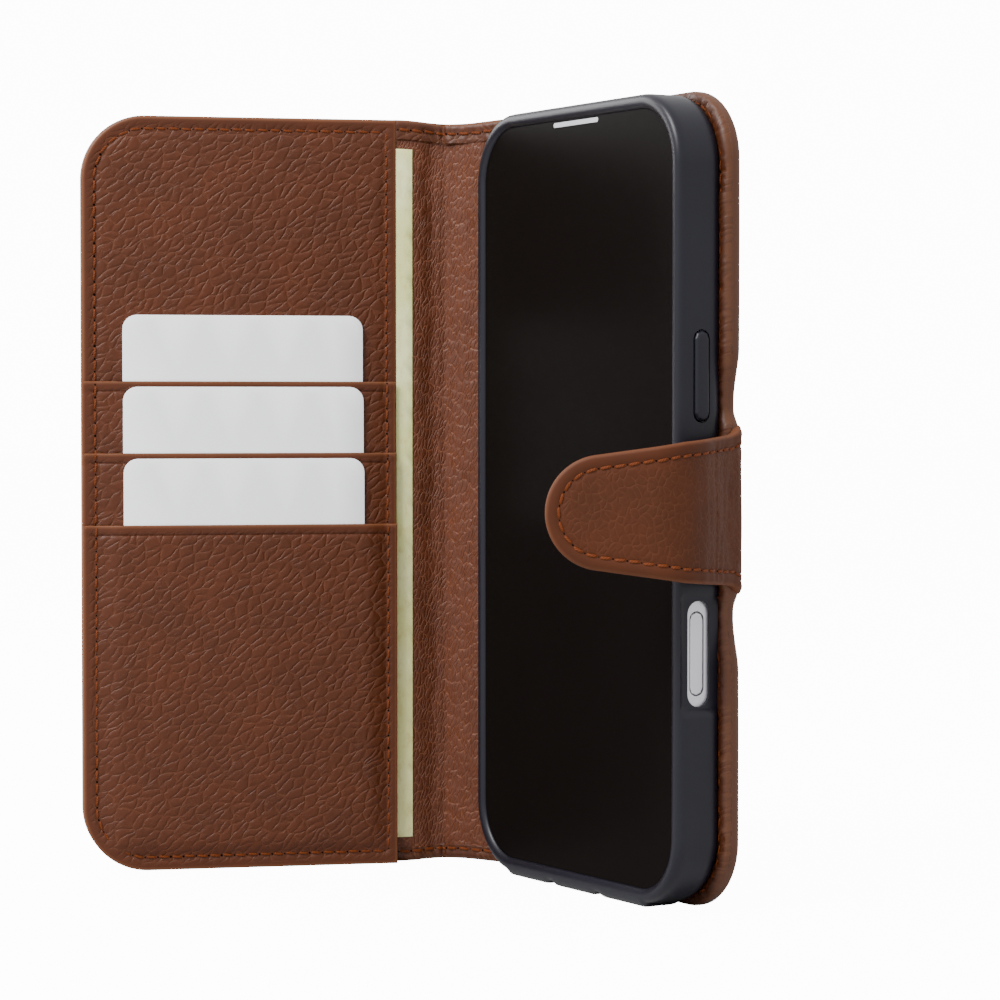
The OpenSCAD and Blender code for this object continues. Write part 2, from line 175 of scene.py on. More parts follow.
def folded_path(corners, coords, softness, side):
    """A flap's path seen from above: straight runs with soft bends at the inner corners.

    coords are the unrolled coordinates of the corners, softness how far each bend reaches,
    and side is 1 if the thickness is measured to the left of the path and -1 to the right.
    """
    corners = [np.array(c, float) for c in corners]
    runs = [(b - a) / np.linalg.norm(b - a) for a, b in zip(corners, corners[1:])]

    def place(along, depth, z):
        along, depth, z = (np.asarray(x, float) for x in (along, depth, z))
        run = np.clip(np.searchsorted(coords[1:-1], along), 0, len(runs) - 1)
        starts = np.array(corners)[run]
        direction = np.array(runs)[run]
        point = starts + direction * (along - np.array(coords)[run])[:, None]
        for i, reach in enumerate(softness):
            corner, middle = corners[i + 1], coords[i + 1]
            near = np.abs(along - middle) < reach
            t = ((along[near] - middle + reach) / (2 * reach))[:, None]
            first, last = corner - runs[i] * reach, corner + runs[i + 1] * reach
            point[near] = (1 - t) ** 2 * first + 2 * t * (1 - t) * corner + t * t * last
            slope = (1 - t) * (corner - first) + t * (last - corner)
            direction[near] = slope / np.linalg.norm(slope, axis=1)[:, None]
        normal = side * np.stack([-direction[:, 1], direction[:, 0]], 1)
        point = point + normal * depth[:, None]
        return np.column_stack([point, z]) * MM

    return place


CASE_SOFT = (3.0, 6.0)            # how far each fold's bend reaches
STRAP_SOFT = (1.8, 8.0)
case_path = folded_path(
    [FOLD_F + COVER_DIR * 100, FOLD_F, FOLD_B, FOLD_B + np.array([100, 0])],
    [-100, 0, SPINE, SPINE + 100], CASE_SOFT, -1)
SIDE_DIR = (STRAP_B - STRAP_A) / SIDE
TAB_DIR = np.array([2 * SIDE_DIR[0] ** 2 - 1, 2 * SIDE_DIR[0] * SIDE_DIR[1]])
strap_path = folded_path(
    [STRAP_A - np.array([40, 0]), STRAP_A, STRAP_B, STRAP_B + TAB_DIR * 60],
    [-40, 0, SIDE, SIDE + 60], STRAP_SOFT, 1)


def spine_droop(along, z):
    """The top and bottom edges sag a little towards the middle at the folds."""
    high = 0.8 * smooth(110, HEIGHT, z) * smooth(-11, 2, along) * smooth(17, 4, along)
    low = 0.5 * smooth(45, 0, z) * smooth(-11, 2, along) * smooth(17, 4, along)
    return low - high


def on_case(along, depth, z):
    """Depth 0 is the case's outer face and grows inwards."""
    along, z = np.asarray(along, float), np.asarray(z, float)
    return case_path(along, np.asarray(depth, float) - AXIS_V, z + spine_droop(along, z))


def on_strap(along, depth, z):
    """Depth 0 is the strap's lining face and grows outwards."""
    return strap_path(along, np.asarray(depth, float) - STRAP_T / 2, z)


def back_a(x):
    """Unrolled coordinate of a place on the back cover."""
    return SPINE + x - FOLD_B[0]


# ---- outlines


def arc(cx, cz, r, start, end, step=0.7):
    """Points on an arc, start and end included."""
    count = max(3, int(abs(end - start) * r / step))
    return [(cx + r * math.cos(t), cz + r * math.sin(t)) for t in np.linspace(start, end, count)]


def sampled(points, step=0.8):
    """The closed outline with extra points along its long edges."""
    out = []
    for (x0, y0), (x1, y1) in zip(points, points[1:] + points[:1]):
        count = max(1, int(math.hypot(x1 - x0, y1 - y0) / step))
        out += [(x0 + (x1 - x0) * k / count, y0 + (y1 - y0) * k / count) for k in range(count)]
    return out


def rounded_outline(x0, x1, z0, z1, radii, step=0.8):
    """Counter-clockwise outline; radii at (x0, z0), (x1, z0), (x1, z1) and (x0, z1)."""
    a, b, c, d = radii
    half, full = math.pi / 2, math.pi
    points = arc(x0 + a, z0 + a, a, full, full + half) if a else [(x0, z0)]
    points += arc(x1 - b, z0 + b, b, -half, 0) if b else [(x1, z0)]
    points += arc(x1 - c, z1 - c, c, 0, half) if c else [(x1, z1)]
    points += arc(x0 + d, z1 - d, d, half, full) if d else [(x0, z1)]
    return sampled(points, step)


def shifted(outline, distance):
    """The outline moved inwards, for a counter-clockwise one."""
    p = np.array(outline)
    ahead, behind = np.roll(p, -1, 0) - p, p - np.roll(p, 1, 0)
    ahead /= np.linalg.norm(ahead, axis=1)[:, None] + 1e-12
    behind /= np.linalg.norm(behind, axis=1)[:, None] + 1e-12
    tangent = ahead + behind
    tangent /= np.linalg.norm(tangent, axis=1)[:, None] + 1e-12
    inward = np.stack([-tangent[:, 1], tangent[:, 0]], 1)
    mitre = np.clip((tangent * ahead).sum(1), 0.6, 1)
    return p + inward * (distance / mitre)[:, None]


def distance_to(points, outline):
    """Distance of each point from a closed outline."""
    a = np.array(outline)
    b = np.roll(a, -1, 0)
    ab = b - a
    length = (ab ** 2).sum(1) + 1e-12
    best = np.full(len(points), 1e9)
    for k in range(0, len(points), 2000):
        p = points[k:k + 2000, None, :]
        t = (((p - a) * ab).sum(2) / length).clip(0, 1)
        best[k:k + 2000] = np.linalg.norm(p - a - t[..., None] * ab, axis=2).min(1)
    return best


def run_along(points, outline):
    """Place along a closed outline that is nearest to each point."""
    a = np.array(outline)
    step = np.linalg.norm(np.roll(a, -1, 0) - a, axis=1)
    reach = np.concatenate([[0], np.cumsum(step)[:-1]])
    out = np.zeros(len(points))
    for k in range(0, len(points), 2000):
        p = points[k:k + 2000, None, :]
        out[k:k + 2000] = reach[np.linalg.norm(p - a, axis=2).argmin(1)]
    return out


def inside(points, outline):
    """Which points lie inside a closed outline."""
    a = np.array(outline)
    b = np.roll(a, -1, 0)
    x, y = points[:, 0, None], points[:, 1, None]
    crosses = (a[:, 1] > y) != (b[:, 1] > y)
    with np.errstate(divide="ignore", invalid="ignore"):
        at = a[:, 0] + (y - a[:, 1]) * (b[:, 0] - a[:, 0]) / (b[:, 1] - a[:, 1])
    return (crosses & (x < at)).sum(1) % 2 == 1


# ---- meshes

SHARP_ANGLE = 40                  # degrees between faces that meet in a crisp edge
UNDERSIDE_SHIFT = 200             # keeps a sheet's two faces on different grain


def add_vectors(mesh, name, values):
    """Stores a vector for each vertex, which the materials read by name."""
    attribute = mesh.attributes.new(name, "FLOAT_VECTOR", "POINT")
    attribute.data.foreach_set("vector", np.asarray(values, np.float32).ravel())


def in_scene(name, data):
    """A new object in the scene."""
    obj = bpy.data.objects.new(name, data)
    bpy.context.scene.collection.objects.link(obj)
    return obj


def aim(obj, direction):
    """Turns a camera or a lamp to look in a direction."""
    obj.rotation_mode = "QUATERNION"
    obj.rotation_quaternion = direction.to_track_quat("-Z", "Y")


def new_object(name, verts, faces, grain=None, smooth_angle=SHARP_ANGLE):
    """A mesh object in the scene, with smooth faces between its sharp edges."""
    mesh = bpy.data.meshes.new(name)
    mesh.from_pydata(np.asarray(verts).tolist(), [], [list(map(int, f)) for f in faces])
    if grain is not None:
        add_vectors(mesh, "grain", grain)
    mesh.polygons.foreach_set("use_smooth", [True] * len(mesh.polygons))
    mesh.set_sharp_from_angle(angle=math.radians(smooth_angle))
    return in_scene(name, mesh)


def room(points, loops):
    """Distance of each point from the nearest of several closed outlines."""
    return np.min([distance_to(points, loop) for loop in loops], axis=0)


def in_sheet(points, outline, holes):
    """Which points lie inside the outline and in none of its holes."""
    keep = inside(points, outline)
    for hole in holes:
        keep &= ~inside(points, hole)
    return keep


def flat_mesh(outline, holes, rings, spacing, rows, cuts):
    """Triangles that fill an outline: close rings along its edges and a grid inside."""
    points, edges, loops = [], [], [outline, *holes]
    for loop in loops:
        for distance in rings:
            ring = shifted(loop, distance if loop is outline else -distance)
            if distance:
                points += ring[room(ring, loops) > distance * 0.8].tolist()
                continue
            first = len(points)
            points += ring.tolist()
            edges += [(first + k, first + (k + 1) % len(ring)) for k in range(len(ring))]
    p = np.array(outline)
    xs = np.arange(p[:, 0].min(), p[:, 0].max(), spacing[0])
    zs = np.unique(np.concatenate([np.arange(p[:, 1].min(), p[:, 1].max(), spacing[1]), rows]))
    gx, gz = np.meshgrid(xs, zs)
    gx = gx + (np.arange(len(zs)) % 2)[:, None] * spacing[0] / 2
    grid = np.column_stack([gx.ravel(), gz.ravel()])
    keep = in_sheet(grid, outline, holes) & (room(grid, loops) > rings[-1] + 0.4)
    points += grid[keep].tolist()
    verts, _, faces, _, _, _ = delaunay_2d_cdt(
        [Vector(q) for q in points], edges, [], 1, 1e-6, False)
    verts = np.array([tuple(v) for v in verts])
    faces = np.array([f for f in faces])
    faces = faces[in_sheet(verts[faces].mean(1), outline, holes)]
    bm = bmesh.new()
    made = [bm.verts.new((x, z, 0)) for x, z in verts]
    for f in faces:
        bm.faces.new([made[i] for i in f])
    for place, normal in cuts:
        bmesh.ops.bisect_plane(
            bm, geom=bm.verts[:] + bm.edges[:] + bm.faces[:], dist=1e-5,
            plane_co=place, plane_no=normal, clear_outer=True)
    bmesh.ops.delete(bm, geom=[v for v in bm.verts if not v.link_faces], context="VERTS")
    bm.normal_update()
    bm.verts.index_update()
    bm.faces.ensure_lookup_table()
    flat = np.array([(v.co.x, v.co.y) for v in bm.verts])
    triangles = [[v.index for v in f.verts] for f in bm.faces]
    rim = [tuple(l.vert.index for l in (e.link_loops[0], e.link_loops[0].link_loop_next))
           for e in bm.edges if len(e.link_faces) == 1]
    if bm.faces and bm.faces[0].normal.z < 0:
        triangles = [t[::-1] for t in triangles]
        rim = [r[::-1] for r in rim]
    bm.free()
    return flat, triangles, rim


def round_over(distance, radius):
    """How far a rounded edge drops at a distance from the edge."""
    if not radius:
        return 0 * distance
    x = (radius - distance).clip(0, radius)
    return radius - np.sqrt(np.maximum(radius ** 2 - x ** 2, 0))


def plate(name, outline, top, bottom, place, radii=(0.4, 0.4), holes=(), spacing=(1.2, 1.2),
          rings=None, rows=(), cuts=()):
    """A sheet with thickness: top and bottom give its depths over (along, up, edge distance)."""
    reach = max(radii)
    if rings is None:
        turns = np.linspace(0, math.pi / 2, 6)
        rings = [float(reach * (1 - math.cos(t))) for t in turns] if reach else [0.0]
    flat, triangles, rim = flat_mesh(outline, holes, list(rings), spacing, list(rows), cuts)
    distance = room(flat, [outline, *holes])
    a, z = flat.T
    upper = top(a, z, distance) - round_over(distance, radii[0])
    lower = bottom(a, z, distance) + round_over(distance, radii[1])
    upper = np.maximum(upper, lower + 0.02)
    verts = np.vstack([place(a, upper, z), place(a, lower, z)])
    n = len(flat)
    faces = triangles + [[i + n for i in t[::-1]] for t in triangles]
    faces += [[j, i, i + n, j + n] for i, j in rim]
    coords = np.column_stack([a, z, 0 * a])
    coords = np.vstack([coords, coords + [UNDERSIDE_SHIFT, 0, 0]])
    obj = new_object(name, verts, faces, coords)
    rim_coords = np.column_stack([run_along(flat, outline), distance, 0 * a])
    add_vectors(obj.data, "rim", np.vstack([rim_coords, rim_coords + [0, 0, 1]]))
    make_outward(obj)
    return obj


def make_outward(obj):
    """Turns every face of a closed mesh outwards."""
    bm = bmesh.new()
    bm.from_mesh(obj.data)
    bmesh.ops.recalc_face_normals(bm, faces=bm.faces)
    bm.to_mesh(obj.data)
    bm.free()
    obj.data.set_sharp_from_angle(angle=math.radians(SHARP_ANGLE))


def level(value):
    """A flat face of a plate."""
    return lambda a, z, d: value + 0 * a


def before(a):
    """A cut that keeps the part of a plate before a place along it."""
    return (a, 0, 0), (1, 0, 0)


def after(a):
    """A cut that keeps the part of a plate after a place along it."""
    return (a, 0, 0), (-1, 0, 0)


def upright(a, depth, z):
    """Place for plates that face out of the back cover, in plain X, Y and Z."""
    return np.column_stack([a, depth, z]) * MM


# ---- materials


class Nodes:
    """A material's node tree, with short calls to add and link nodes."""

    def __init__(self, name):
        self.material = bpy.data.materials.new(name)
        self.material.use_nodes = True
        self.tree = self.material.node_tree
        self.shader = self.tree.nodes["Principled BSDF"]

    def add(self, kind, inputs=None, **settings):
        node = self.tree.nodes.new(kind)
        for key, value in settings.items():
            setattr(node, key, value)
        for key, value in (inputs or {}).items():
            self.set(node, key, value)
        return node

    def set(self, node, key, value):
        if isinstance(value, bpy.types.NodeSocket):
            self.tree.links.new(value, node.inputs[key])
        else:
            node.inputs[key].default_value = value

    def math(self, operation, a, b=0.0, c=0.0):
        node = self.add("ShaderNodeMath", {0: a, 1: b, 2: c}, operation=operation)
        return node.outputs[0]

    def times(self, a, b):
        return self.math("MULTIPLY", a, b)

    def times_add(self, a, b, c):
        return self.math("MULTIPLY_ADD", a, b, c)

    def vector(self, operation, inputs):
        return self.add("ShaderNodeVectorMath", inputs, operation=operation).outputs[0]

    def parts(self, vector):
        return self.add("ShaderNodeSeparateXYZ", {0: vector}).outputs

    def grain(self):
        return self.add("ShaderNodeAttribute", attribute_name="grain").outputs["Vector"]

    def noise(self, vector, scale, detail=3.0, rough=0.5):
        node = self.add("ShaderNodeTexNoise", {
            "Vector": vector, "Scale": scale, "Detail": detail, "Roughness": rough})
        return node.outputs["Fac"]

    def band(self, value, low, high, out_low=0.0, out_high=1.0):
        node = self.add("ShaderNodeMapRange", {
            "Value": value, "From Min": low, "From Max": high,
            "To Min": out_low, "To Max": out_high}, interpolation_type="SMOOTHSTEP")
        return node.outputs["Result"]

    def mix(self, factor, a, b):
        node = self.add("ShaderNodeMix", data_type="RGBA")
        self.set(node, 0, factor)
        self.set(node, 6, a)
        self.set(node, 7, b)
        return node.outputs[2]

    def finish(self, color, roughness, height=None, strength=1.0, distance=0.0002, **shader):
        self.set(self.shader, "Base Color", color)
        self.set(self.shader, "Roughness", roughness)
        if height is not None:
            node = self.add("ShaderNodeBump", {
                "Height": height, "Strength": strength, "Distance": distance})
            self.set(self.shader, "Normal", node.outputs["Normal"])
        for key, value in shader.items():
            self.set(self.shader, key.replace("_", " "), value)
        return self.material


def rgb(r, g, b):
    """Linear colour from screen values of 0 to 255."""
    lin = [(c / 255 / 12.92) if c <= 10 else ((c / 255 + 0.055) / 1.055) ** 2.4 for c in (r, g, b)]
    return (*lin, 1.0)


def shade(color, factor):
    """A colour made darker or lighter."""
    return tuple(min(1, c * factor) for c in color[:3]) + (1.0,)


def leather(name, base, crease, cell=(4.2, 2.0), angle=40.0, depth=1.0, rough=0.5, fine=0.3,
            crease_highlight=0.35, border=(1.7, 3.0), pleats=0.0, warp=0.9, spec=0.4, rim_painted_shade=0.0):
    """Pebbled leather: long cells between soft creases, and a smooth rolled border.

    cell is a cell's length and width in millimetres, angle the way the cells point, border
    where the grain starts inside the edge, pleats the height of folds across the rim, crease
    the paler tint used for the painted highlights on the creases and the rolled edge, for the
    pleat grooves and for the pores, contrast how strongly the creases are tinted as a painted
    highlight, and rim_painted_shade how much painted shade darkens the back cover's rolled edge.
    """
    n = Nodes(name)
    coords = n.grain()
    run, edge, side = n.parts(
        n.add("ShaderNodeAttribute", attribute_name="rim").outputs["Vector"])
    wander = n.add("ShaderNodeTexNoise", {"Vector": coords, "Scale": 0.3, "Detail": 4.0})
    shift = n.vector("SUBTRACT", {0: wander.outputs["Color"], 1: (0.5, 0.5, 0.5)})
    pushed = n.vector("MULTIPLY_ADD", {0: shift, 1: (warp * 2, warp * 2, 0.0), 2: coords})
    turned = n.add("ShaderNodeVectorRotate", {
        "Vector": pushed, "Angle": math.radians(-angle)}, rotation_type="Z_AXIS").outputs[0]
    scaled = n.vector("MULTIPLY", {0: turned, 1: (1 / cell[0], 1 / cell[1], 1.0)})
    cells, small = (n.add("ShaderNodeTexVoronoi", {
        "Vector": scaled, "Scale": scale, "Randomness": randomness},
        feature="DISTANCE_TO_EDGE", voronoi_dimensions="2D").outputs["Distance"]
        for scale, randomness in ((1.0, 0.95), (1.9, 1.0)))
    # creases between the cells, thin ones inside some cells, domes and pores
    inner = n.band(edge, border[0], border[1])
    presence = n.band(n.noise(coords, 0.45, 2.0), 0.36, 0.58, 0.15, 1.0)
    line = n.times(n.band(cells, 0.0, 0.12, 1.0, 0.0), presence)
    thin = n.band(small, 0.0, 0.08, 1.0, 0.0)
    thin_on = n.band(n.noise(coords, 0.3, 2.0), 0.5, 0.62, 0.0, 0.5)
    creases = n.math("MAXIMUM", line, n.times(thin, thin_on))
    creases = n.times(creases, inner)
    dome = n.times(n.band(cells, 0.0, 0.34), inner)
    pores = n.noise(coords, 7.0, 3.0, 0.6)
    height = n.times_add(creases, -0.55, n.times(dome, 0.6))
    height = n.times_add(pores, fine * 0.3, height)
    # pleats across the rolled rim
    if pleats:
        slanted = n.times_add(edge, 0.5, n.times_add(side, 1.6, run))
        across = n.add("ShaderNodeCombineXYZ", {
            0: slanted, 1: n.times(edge, 0.35), 2: n.times(side, 1.2)})
        folds = n.noise(across.outputs[0], 0.5, 1.5, 0.5)
        sharp = n.math("ABSOLUTE", n.math("SUBTRACT", folds, 0.5))
        sharp = n.band(sharp, 0.0, 0.12)
        near = n.times(n.band(edge, 6.0, 3.5), n.band(side, 0.6, 0.12))
        near = n.times(near, n.band(n.noise(coords, 0.14, 2.0), 0.4, 0.6, 0.15, 1.0))
        height = n.times_add(n.times(sharp, near), pleats, height)
        pleat_grooves = n.times(n.band(sharp, 0.5, 0.0), near)
    # dye: slow changes of tone; painted highlights along the rolled edge and the creases, and a paler
    # tint along the pleat grooves
    tone = n.noise(coords, 0.1, 3.0)
    darker = shade(base, 0.84)
    color = n.mix(n.band(tone, 0.3, 0.7), darker, base)
    # painted highlight: paler towards the rolled edge, as if light caught the roll
    rolled = n.times(n.band(edge, 0.9, 0.0), 0.35)
    color = n.mix(rolled, color, crease)
    # painted highlight: the creases are tinted paler, as if light caught their edges
    color = n.mix(n.times(creases, crease_highlight), color, crease)
    if pleats:
        # paler tint along the pleat grooves
        color = n.mix(n.times(pleat_grooves, 0.16), color, crease)
    # painted shade: the back cover's rolled edge is darkened, as if light fell off there
    if rim_painted_shade:
        along = n.parts(coords)[0]
        on_back = n.band(along, SPINE + 30, SPINE + 50)
        rim_shade = n.times(n.times(on_back, n.band(edge, 6.0, 3.0)), rim_painted_shade)
        rim_shade_color = shade(base, 0.35)
        color = n.mix(rim_shade, color, rim_shade_color)
    color = n.mix(n.band(pores, 0.58, 0.75, 0.0, 0.18), color, crease)
    roughness = n.times_add(pores, 0.2, rough - 0.1)
    return n.finish(color, roughness, height, 1.0, 0.00017 * depth, Specular_IOR_Level=spec)


def thread_material():
    """Twisted, waxed thread."""
    n = Nodes("waxed_thread")
    coords = n.grain()
    wave = n.add("ShaderNodeTexWave", {"Vector": coords, "Scale": 1.1, "Distortion": 0.6},
                 wave_type="BANDS", bands_direction="DIAGONAL").outputs["Fac"]
    fuzz = n.noise(coords, 5.0, 3.0)
    color = n.mix(wave, rgb(80, 32, 0), rgb(106, 47, 0))
    color = n.mix(n.band(fuzz, 0.45, 0.7, 0.0, 0.5), color, rgb(88, 34, 8))
    return n.finish(color, 0.6, n.times_add(fuzz, 0.3, wave), 0.8, 0.00008,
                    Specular_IOR_Level=0.2)


def object_coords(n, scale):
    """Object coordinates in millimetres times scale."""
    coords = n.add("ShaderNodeTexCoord").outputs["Object"]
    return n.vector("SCALE", {0: coords, "Scale": 1000 * scale})


def plain_material(name, base, rough, grain_size=0.4, bump_mm=0.01, tint=0.12, **shader):
    """A moulded, cast or printed surface with a fine texture and slight changes of tone."""
    n = Nodes(name)
    coords = object_coords(n, 1.0)
    fine = n.noise(coords, 1 / grain_size, 3.0, 0.6)
    wide = n.noise(coords, 0.05, 3.0)
    dark = shade(base, 1 - tint)
    pale = shade(base, 1 + tint)
    color = n.mix(n.band(wide, 0.3, 0.7), dark, pale)
    roughness = n.times_add(fine, 0.12, rough - 0.06)
    return n.finish(color, roughness, fine, 1.0, bump_mm * MM, **shader)


def mesh_material():
    """Fine perforated metal over the earpiece."""
    n = Nodes("earpiece_mesh")
    coords = object_coords(n, 1.0)
    holes = n.add("ShaderNodeTexVoronoi", {"Vector": coords, "Scale": 4.0, "Randomness": 0.0},
                  feature="F1").outputs["Distance"]
    dots = n.band(holes, 0.25, 0.4)
    color = n.mix(dots, rgb(50, 50, 52), rgb(150, 150, 154))
    return n.finish(color, 0.35, dots, 1.0, 0.00004, Metallic=0.85)


def note_material():
    """Plain banknote paper with fibres and handling marks."""
    n = Nodes("note_paper")
    coords = n.grain()
    stretched = n.vector("MULTIPLY", {0: coords, 1: (1.0, 0.6, 1.0)})
    streaks = n.noise(stretched, 0.5, 5.0, 0.7)
    fibres = n.noise(coords, 4.0, 3.0, 0.7)
    wide = n.noise(coords, 0.06, 2.0)
    color = n.mix(n.band(wide, 0.35, 0.65), rgb(216, 220, 146), rgb(228, 232, 172))
    # the paper turns browner and darker towards the bottom
    height = n.parts(coords)[1]
    color = n.mix(n.band(height, 130.0, 20.0, 0.0, 0.3), color, rgb(216, 204, 138))
    color = n.mix(n.band(streaks, 0.45, 0.7, 0.0, 0.4), color, rgb(190, 168, 96))
    color = n.mix(n.band(fibres, 0.5, 0.75, 0.0, 0.3), color, rgb(178, 186, 128))
    return n.finish(color, 0.75, fibres, 1.0, 0.00002)


BROWN = rgb(72, 30, 3)
PALE_TINT_AND_HIGHLIGHT = rgb(136, 86, 54)
OUTER = leather("outer_leather", rgb(66, 27, 2), PALE_TINT_AND_HIGHLIGHT, cell=(3.4, 1.9), angle=34, depth=0.7,
                border=(0.8, 2.6), pleats=0.4, crease_highlight=0.16, spec=0.3, rim_painted_shade=0.5)
PANEL = leather("panel_leather", BROWN, PALE_TINT_AND_HIGHLIGHT, cell=(3.5, 1.75), angle=36, depth=0.78,
                border=(0.6, 2.6), crease_highlight=0.09, warp=1.1, spec=0.27)
LINING = leather("lining_leather", rgb(80, 36, 11), rgb(170, 106, 70), cell=(2.5, 0.8), angle=76,
                 depth=0.6, rough=0.48, fine=1.6, crease_highlight=0.18, border=(-2.0, -1.0), warp=1.0,
                 spec=0.34)
STRAP = leather("strap_leather", rgb(68, 31, 9), rgb(116, 70, 44), cell=(1.8, 1.45), angle=84,
                depth=0.3, crease_highlight=0.13, border=(2.4, 3.6), rough=0.62, spec=0.18,
                warp=1.3)
THREAD = thread_material()
TPU = plain_material("soft_shell", rgb(13, 12, 23), 0.4, 0.25, 0.004, 0.1,
                     Specular_IOR_Level=0.3)
GLASS = plain_material("screen_glass", rgb(14, 11, 10), 0.3, 3.0, 0.0002, 0.03,
                       Specular_IOR_Level=0.012)
BACK_GLASS = plain_material("phone_back", rgb(78, 80, 86), 0.42, 0.3, 0.003, 0.06)
METAL = plain_material("phone_metal", rgb(206, 204, 210), 0.36, 0.12, 0.004, 0.05, Metallic=0.8)
CARD = plain_material("card_plastic", rgb(248, 249, 252), 0.42, 1.2, 0.001, 0.01)
ADHESIVE = plain_material("adhesive_sheet", rgb(214, 212, 202), 0.3, 0.5, 0.004, 0.05)
LENS = plain_material("lens_glass", rgb(14, 15, 20), 0.05, 3.0, 0.0002, 0.1, Coat_Weight=1.0)
LENS_RING = plain_material("lens_ring", rgb(122, 124, 130), 0.28, 0.2, 0.003, 0.08, Metallic=1.0)
# painted shade for the needle holes
HOLE_SHADE = plain_material("needle_hole_shade", rgb(16, 6, 2), 0.95, 0.2, 0.01, 0.2,
                       Specular_IOR_Level=0.0)
MESH = mesh_material()
NOTE = note_material()


def finished(obj, material, body=None, replaces=()):
    """Gives a piece its material, its body and the CAD nodes it stands for."""
    obj.data.materials.clear()
    obj.data.materials.append(material)
    if body:
        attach(obj, body)
    if replaces:
        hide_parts(*replaces)
    return obj


def place_on(path, along, depth, z):
    """One point of a path, as a plain tuple in metres."""
    return tuple(path(np.array([along]), np.array([depth]), np.array([z]))[0])


def blend_case_front(obj):
    place_on(on_case, -CASE_SOFT[0], AXIS_V, 84)
    place_on(on_case, CASE_SOFT[0], AXIS_V, 84)
    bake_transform(obj)


def blend_case_back(obj):
    place_on(on_case, SPINE - CASE_SOFT[1], AXIS_V, 84)
    place_on(on_case, SPINE + CASE_SOFT[1], AXIS_V, 84)
    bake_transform(obj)


# ---- the hide and its lining

MID = SPINE / 2
NOTCH_LOW, NOTCH_HIGH = STRAP_Z - NOTCH_HALF, STRAP_Z + NOTCH_HALF
NOTCH_A = back_a(39.9)
WINDOW = rounded_outline(
    back_a(ISLAND_LOW[0] - 3), back_a(ISLAND_HIGH[0] + 3), ISLAND_LOW[2] - 3, ISLAND_HIGH[2] + 3,
    (12, 12, 12, 12), 0.7)


def by_strap(z):
    """1 beside the strap and 0 further along the free edge."""
    away = np.abs(z - STRAP_Z)
    return smooth(33, 22, away) * (1 - 0.9 * smooth(20.5, 16.5, away))


def draw_in(a, z):
    """How far the free edge is pulled in just above and below the strap."""
    if a < NOTCH_A + 0.5:
        return 0.0
    return 1.6 * float(by_strap(z))


def hide_outline():
    """Free edge of the front cover round to the free edge of the back cover, with its notch."""
    left, right = -COVER_W, FREE_A
    half, r = math.pi / 2, CORNER
    points = arc(left + r, r, r, 2 * half, 3 * half) + arc(right - r, r, r, -half, 0)
    points += arc(right - 0.8, NOTCH_LOW - 0.8, 0.8, 0, half, 0.2) + [(NOTCH_A, NOTCH_LOW)]
    points += [(NOTCH_A, NOTCH_HIGH)] + arc(right - 0.8, NOTCH_HIGH + 0.8, 0.8, -half, 0, 0.2)
    points += arc(right - r, HEIGHT - r, r, 0, half)
    points += arc(left + r, HEIGHT - r, r, half, 2 * half)
    return [(a - draw_in(a, z), z) for a, z in sampled(points, 0.6)]


def inner_face(a):
    """Depth of the lining's face along the case."""
    front = smooth(-2, -7, a)
    back = smooth(SPINE + 1, SPINE + 6, a)
    return SPINE_T + (FRONT_T - SPINE_T) * front + (BACK_T - SPINE_T) * back


def spine_waves(a, z):
    """Soft vertical wrinkles where the leather bends."""
    near = smooth(-9, -3, a) * smooth(SPINE + 9, SPINE + 3, a)
    waves = noise(a / 1.7 + 0.15 * noise(a / 4, z / 6), z / 7.0, 2)
    return near * waves * 0.12


def hem_top(z):
    """1 on the turned-in hems at the top and the bottom, 0 between them."""
    wave_low, wave_high = HEM_LOW, HEIGHT - HEM_HIGH
    return 1 - smooth(wave_low - 0.15, wave_low + 0.15, z) * (
        1 - smooth(wave_high - 0.15, wave_high + 0.15, z))


def hem_wrinkles(a, z):
    """Small pleats across the hem over the spine."""
    on = smooth(-1, 1.5, a) * smooth(SPINE + 10, SPINE + 6, a)
    lap = 0.35 * smooth(0.2, 0.7, a) * smooth(6, 1, a)
    return on * 0.26 * noise(a / 0.8, z / 9 + 40, 2) + lap - 0.45 * bump(a, -0.2, 0.9)


def corner_pleats(a, z, d):
    """Gathered folds in the turned edge round the back cover's free corners."""
    total = 0 * a
    for cz in (CORNER, HEIGHT - CORNER):
        ca = FREE_A - CORNER
        outer = smooth(-4, 0, a - ca) * smooth(9, 2, (cz - z) * (1 if cz > 80 else -1))
        angle = np.arctan2(z - cz, a - ca) * CORNER
        folds = ridges(angle / 3.1, 0 * a + cz / 9, 5.0)
        total = total + outer * folds * smooth(0.1, 0.9, d) * smooth(4.2, 2.6, d)
    wander = ridges(z / 1.9 + 11, a / 9, 3.0) * smooth(SPINE + 70, SPINE + 80, a)
    return 0.45 * total + 0.22 * wander * smooth(0.1, 0.9, d) * smooth(4.2, 3.0, d)


def seam_dip(distance, at=SEAM, width=0.8, depth=0.22):
    """The shallow channel that a line of stitches pulls into the leather."""
    return depth * np.exp(-((distance - at) / width) ** 2)


def hide_inner(a, z, d):
    """Inner face of the outer leather: hidden, hem over the spine or rolled edge."""
    under_panel = smooth(PANEL_A - 0.2, PANEL_A - 0.8, a)
    past_spine = smooth(SPINE + 8, SPINE + 9, a)
    hem = hem_top(z) * (1 - (under_panel + past_spine).clip(0, 1))
    below = inner_face(a) - 0.45
    open_hem = inner_face(a) + HEM_T + hem_wrinkles(a, z) - seam_dip(d, 2.3)
    edge = smooth(FREE_A - 5, FREE_A - 4, a) + smooth(6, 4, d) * (a > SPINE + 8)
    value = below * (1 - hem) + open_hem * hem
    bead = (1 - 0.4 * by_strap(z)) * np.sqrt(np.clip(1 - ((d - 1.5) / 2.3) ** 2, 0, 1))
    rim = inner_face(a) + bead - corner_pleats(a, z, d)
    on_back = past_spine * edge.clip(0, 1)
    value = value * (1 - on_back) + rim * on_back
    return value * (1 - under_panel) + FRONT_T * under_panel + 0.4 * spine_waves(a, z)


